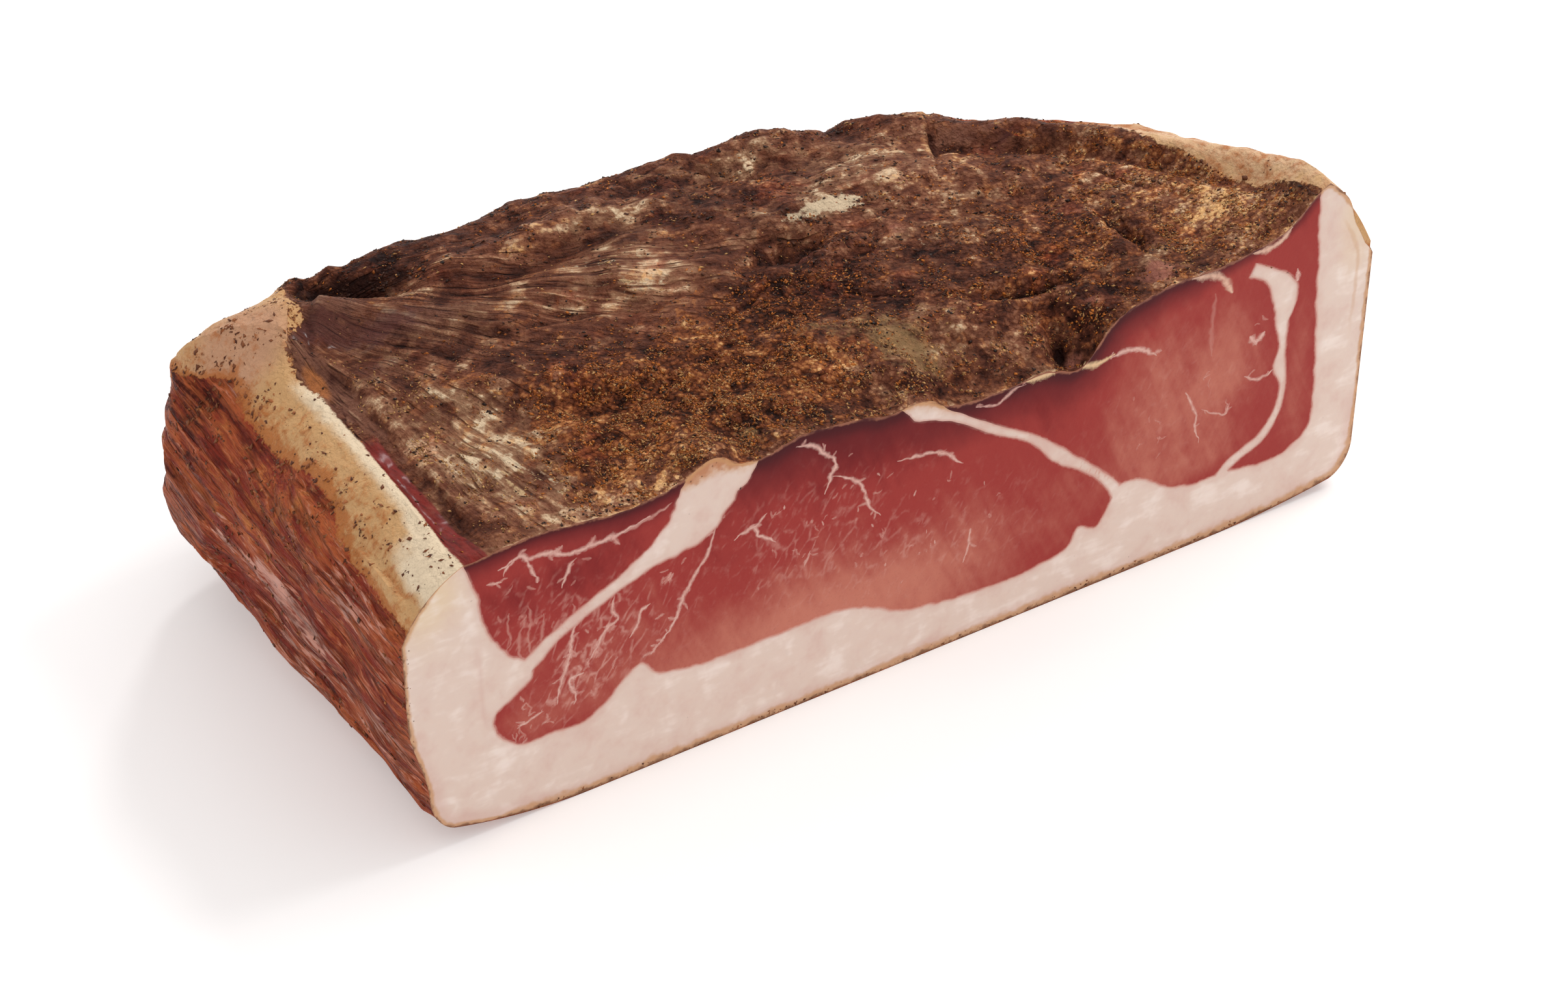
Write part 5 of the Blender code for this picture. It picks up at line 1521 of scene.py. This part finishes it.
specks = dict(
    count=4200, size=(0.35, 2.20), wide=0.62, high=0.20, seed=14,
    pale=(0.380, 0.130, 0.045), deep=(0.075, 0.020, 0.009),
    # on the top, x and y, and on the left wall, y and z
    top=[
        (5, 70, 7, 30, 0, 1.2), (6, 40, 6, 20, 0, 0.7), (9, 10, 6, 12, 0, 0.9), (12, 112, 18, 12, 0, 1.3),
        (225, 95, 30, 16, 0, 1), (255, 50, 8, 30, 0, 0.4),
    ],
    wall=[(95, 50, 26, 20, 0, 1), (60, 60, 30, 6, 0, 0.7), (70, 20, 40, 10, 0, 0.5)],
    most=1.5, base=0.10, onBand=(0.8, -0.4), flat=(0.15, 0.5), leftWall=(60, 30),
    clump=[(1.3, 5.0, 5.7)], clumpAll=0.25,
    edge=dict(reach=2.2, amount=1.6, sideOff=2, top=75),      # along the rind's edge on the cut
)


def flakeMesh(name, places, normals, ways, sizes, wide, high, rng):
    # irregular eight-sided flakes joined in one mesh, each lying along its way on the surface
    count = len(places)
    side = np.cross(normals, ways)
    ways = np.cross(side, normals)
    shape = np.array(flakeShape["points"], float)
    body = shape[None] * (0.5 * sizes[:, None] * np.array([1, wide, high]))[:, None]
    body *= rng.uniform(*flakeShape["uneven"], (count, 6, 3))
    body += rng.normal(0, flakeShape["jitter"], (count, 6, 3)) * sizes[:, None, None]
    spun = body[..., :1] * ways[:, None] + body[..., 1:2] * side[:, None] + body[..., 2:] * normals[:, None]
    points = places[:, None] + spun
    kept = ((points > cadCorners[0]) & (points < cadCorners[1])).all((1, 2))
    points = points[kept]
    faces = []
    for a in range(4):
        faces += [(a, (a + 1) % 4, 4), ((a + 1) % 4, a, 5)]
    index = (np.arange(len(points))[:, None, None] * 6 + np.array(faces)[None]).reshape(-1, 3)
    mesh = bpy.data.meshes.new(name)
    mesh.vertices.add(points.size // 3)
    mesh.vertices.foreach_set("co", points.ravel() * mm)
    mesh.loops.add(index.size)
    mesh.loops.foreach_set("vertex_index", index.ravel().astype(np.int32))
    mesh.polygons.add(len(index))
    mesh.polygons.foreach_set("loop_start", np.arange(0, index.size, 3, dtype=np.int32))
    mesh.update(calc_edges=True)
    print(name, len(index), "triangles")
    return linked(name, mesh), kept


def surfaceOf(thing, isSkin):
    # triangles of the skin: corners, normals, areas
    mesh = thing.data
    mesh.calc_loop_triangles()
    corner = readAll(mesh.loop_triangles, "vertices", 3, np.int32)
    owner = readAll(mesh.loop_triangles, "polygon_index", 1, np.int32)[:, 0]
    corner = pointsOf(thing)[corner[isSkin[owner]]]
    across = np.cross(corner[:, 1] - corner[:, 0], corner[:, 2] - corner[:, 0])
    area = np.linalg.norm(across, axis=1)
    good = area > 1e-6
    return corner[good], across[good] / area[good][:, None], area[good]


def scatterOn(surface, weight, count, rng):
    corner, normal, area = surface
    chosen = rng.choice(len(area), count, p=weight * area / (weight * area).sum())
    a, b = rng.random((2, count))
    flip = a + b > 1
    a, b = np.where(flip, 1 - a, a), np.where(flip, 1 - b, b)
    p, q, r = (corner[chosen, k] for k in range(3))
    return p + a[:, None] * (q - p) + b[:, None] * (r - p), normal[chosen]


def radial(x, y):
    # unit way outward from where the crust's creases meet
    centre = relief["fan"]["centre"]
    return unit(np.stack([x - centre[0], y - centre[1], 0 * x], 1))


def flakeMaterial(name, size):
    g = Graph(name, Specular_IOR_Level=0.15)
    shade = g.value("shade")
    return g.finish(Base_Color=g.mix(shade, size["deep"], size["pale"]), Roughness=shade * 0.25 + 0.35)


def scatterFlakes(name, size, surface, weight, rng):
    shape = flakeShape
    places, normals = scatterOn(surface, np.maximum(weight, 1e-6), size["count"], rng)
    x, y = places[:, :2].T
    stray = shape["stray"][0] + shape["stray"][1] * cover(spots["fanned"], x, y)
    ways = radial(x, y) + stray[:, None] * rng.normal(0, 1, places.shape)
    normals = unit(normals + rng.normal(0, shape["tilt"], normals.shape))
    ways = unit(ways - (ways * normals).sum(1)[:, None] * normals)
    small, large = size["size"]
    sizes = small + (large - small) * rng.random(len(places)) ** shape["mostSmall"]
    thing, kept = flakeMesh(name, places, normals, ways, sizes, size["wide"], size["high"], rng)
    store(thing, "shade", np.repeat(rng.random(kept.sum()) ** shape["mostDeep"], 6))
    thing.data.materials.append(flakeMaterial(name, size))
    return thing


def makeSpices(covered):
    size = spiceWeight
    surface = [np.concatenate(parts) for parts in zip(*(surfaceOf(*pair) for pair in covered))]
    x, y, z = surface[0].mean(1).T
    fromLeft, fromRight = crustReach(x, y)
    up = np.clip(surface[1][:, 2], 0, 1) * ramp(*size["reach"], np.minimum(fromLeft, fromRight))
    up *= within(size["low"], z=z) * (1 - size["lessBare"] * within(size["bare"], past=fromLeft, y=y))
    smoothSkin = sum(share * patches(spots[name], x, y) for name, share in size["smooth"].items())
    up *= np.clip(size["clumpAll"] + layered(size["clump"], x, y, z), *size["clumpRange"])
    up *= (1 - np.clip(smoothSkin, 0, size["most"])) * (size["lessFanned"] - cover(spots["fanned"], x, y))
    made = []
    for name, flake in flakes.items():
        weight = (flake["base"] + cover(spots[flake["spots"]], x, y, 1.2)) * up
        made.append(scatterFlakes(name, flake, surface, weight, np.random.default_rng(flake["seed"])))
    return made


def makeSpecks(fat, kinds):
    # dark specks on the band, the rim and the rind, and a few along the rind's edge on the cut
    size, edge = specks, specks["edge"]
    surface = [np.concatenate(parts) for parts in zip(surfaceOf(fat, kinds == 1), surfaceOf(fat, kinds == 0))]
    x, y, z = surface[0].mean(1).T
    up = surface[1][:, 2]
    onBand = ramp(*size["onBand"], np.minimum(*crustReach(x, y)))
    top = cover(size["top"], x, y, size["most"]) * ramp(*size["flat"], up) * onBand
    wall = cover(size["wall"], y, z, size["most"]) * ramp(*size["flat"][::-1], up)
    wall *= ramp(*size["leftWall"], x)
    near = edge["amount"] * ramp(edge["reach"], 0, np.minimum(z, x + edge["sideOff"])) * (z < edge["top"])
    clump = np.clip(size["clumpAll"] + layered(size["clump"], x, y, z), 0, 1)
    weight = np.where(y < cutFace["near"], near, (top + wall + size["base"] * onBand) * clump)
    return scatterFlakes("rind_specks", size, surface, weight, np.random.default_rng(size["seed"]))


placeValues(curedLean, fatAndRind)
leanKinds, fatKinds = faceKinds(curedLean), faceKinds(fatAndRind)
strips = makeMarbling(curedLean)
strips.data.materials.append(marblingMaterial())
strips.visible_shadow = strips.visible_diffuse = False     # lies on the cut and casts no shade on it
spices = makeSpices([(curedLean, leanKinds > 0), (fatAndRind, fatKinds > 0)])
darkSpecks = makeSpecks(fatAndRind, fatKinds)
outside = skinMaterial()
finishPiece(curedLean, leanKinds, (leanCutMaterial(), outside))
finishPiece(fatAndRind, fatKinds, (fatCutMaterial(), outside))
for piece in (strips, darkSpecks, *spices):
    piece.data.transform(Matrix.Translation(shift))
for piece, slotName in ((curedLean, "lean_meat"), (fatAndRind, "fat_layer"), (strips, "fat_layer"),
                        (darkSpecks, "rind_specks"), *((spice, "spice_grains") for spice in spices)):
    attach(piece, "root")
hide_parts("lean_meat")
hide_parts("fat_layer")
print("lean and fat finished")


# The stage: floor, light and camera, in metres

studio = dict(
    floorSize=6.0, floorColour=(0.80, 0.80, 0.80), floorGlow=(0.290, 0.262, 0.252),
    worldColour=(1.0, 1.0, 1.0), worldStrength=0.86,
    camera=dict(turn=-32.262, rise=37.0, away=0.9292, target=(0.1337, 0.060, 0.0116), lens=85, sensor=36),
    # place, size, power, colour; each looks at the ham
    lights=dict(
        key=((0.95, -0.05, 1.15), 0.60, 8.0, (1.0, 0.99, 0.97)),
        back=((0.60, 0.95, 0.85), 0.20, 4.0, (1.0, 1.0, 1.0)),
    ),
)


def makeFloor():
    corner = np.array([(-1, -1, 0), (1, -1, 0), (1, 1, 0), (-1, 1, 0)])
    floor = meshFrom("floor", corner * studio["floorSize"] / mm, [(0, 1, 2, 3)])
    paint = Graph("floor_paint", Base_Color=studio["floorColour"], Roughness=0.7,
                  Emission_Color=studio["floorGlow"], Emission_Strength=1.0)
    floor.data.materials.append(paint.material)


def makeLights():
    world = bpy.data.worlds.new("studio")
    world.use_nodes = True
    background = world.node_tree.nodes["Background"]
    background.inputs["Color"].default_value = (*studio["worldColour"], 1)
    background.inputs["Strength"].default_value = studio["worldStrength"]
    bpy.context.scene.world = world
    for name, (place, size, power, colour) in studio["lights"].items():
        lamp = bpy.data.lights.new(name, "AREA")
        lamp.shape, lamp.size, lamp.energy, lamp.color = "DISK", size, power, colour
        thing = linked(name, lamp)
        thing.location = place
        thing.rotation_euler = Vector(place).to_track_quat("Z", "Y").to_euler()


def makeCamera():
    size = studio["camera"]
    turn, rise = math.radians(size["turn"]), math.radians(size["rise"])
    back = Vector((math.sin(turn) * math.cos(rise), -math.cos(turn) * math.cos(rise), math.sin(rise)))
    lens = bpy.data.cameras.new("camera")
    lens.lens, lens.sensor_width, lens.sensor_fit = size["lens"], size["sensor"], "HORIZONTAL"
    camera = linked("camera", lens)
    camera.location = Vector(size["target"]) + Vector(shift) + back * size["away"]
    camera.rotation_euler = (math.pi / 2 - rise, 0, turn)
    bpy.context.scene.camera = camera
    bpy.context.scene.view_settings.view_transform = "Standard"


makeFloor()
makeLights()
makeCamera()
print("stage set")
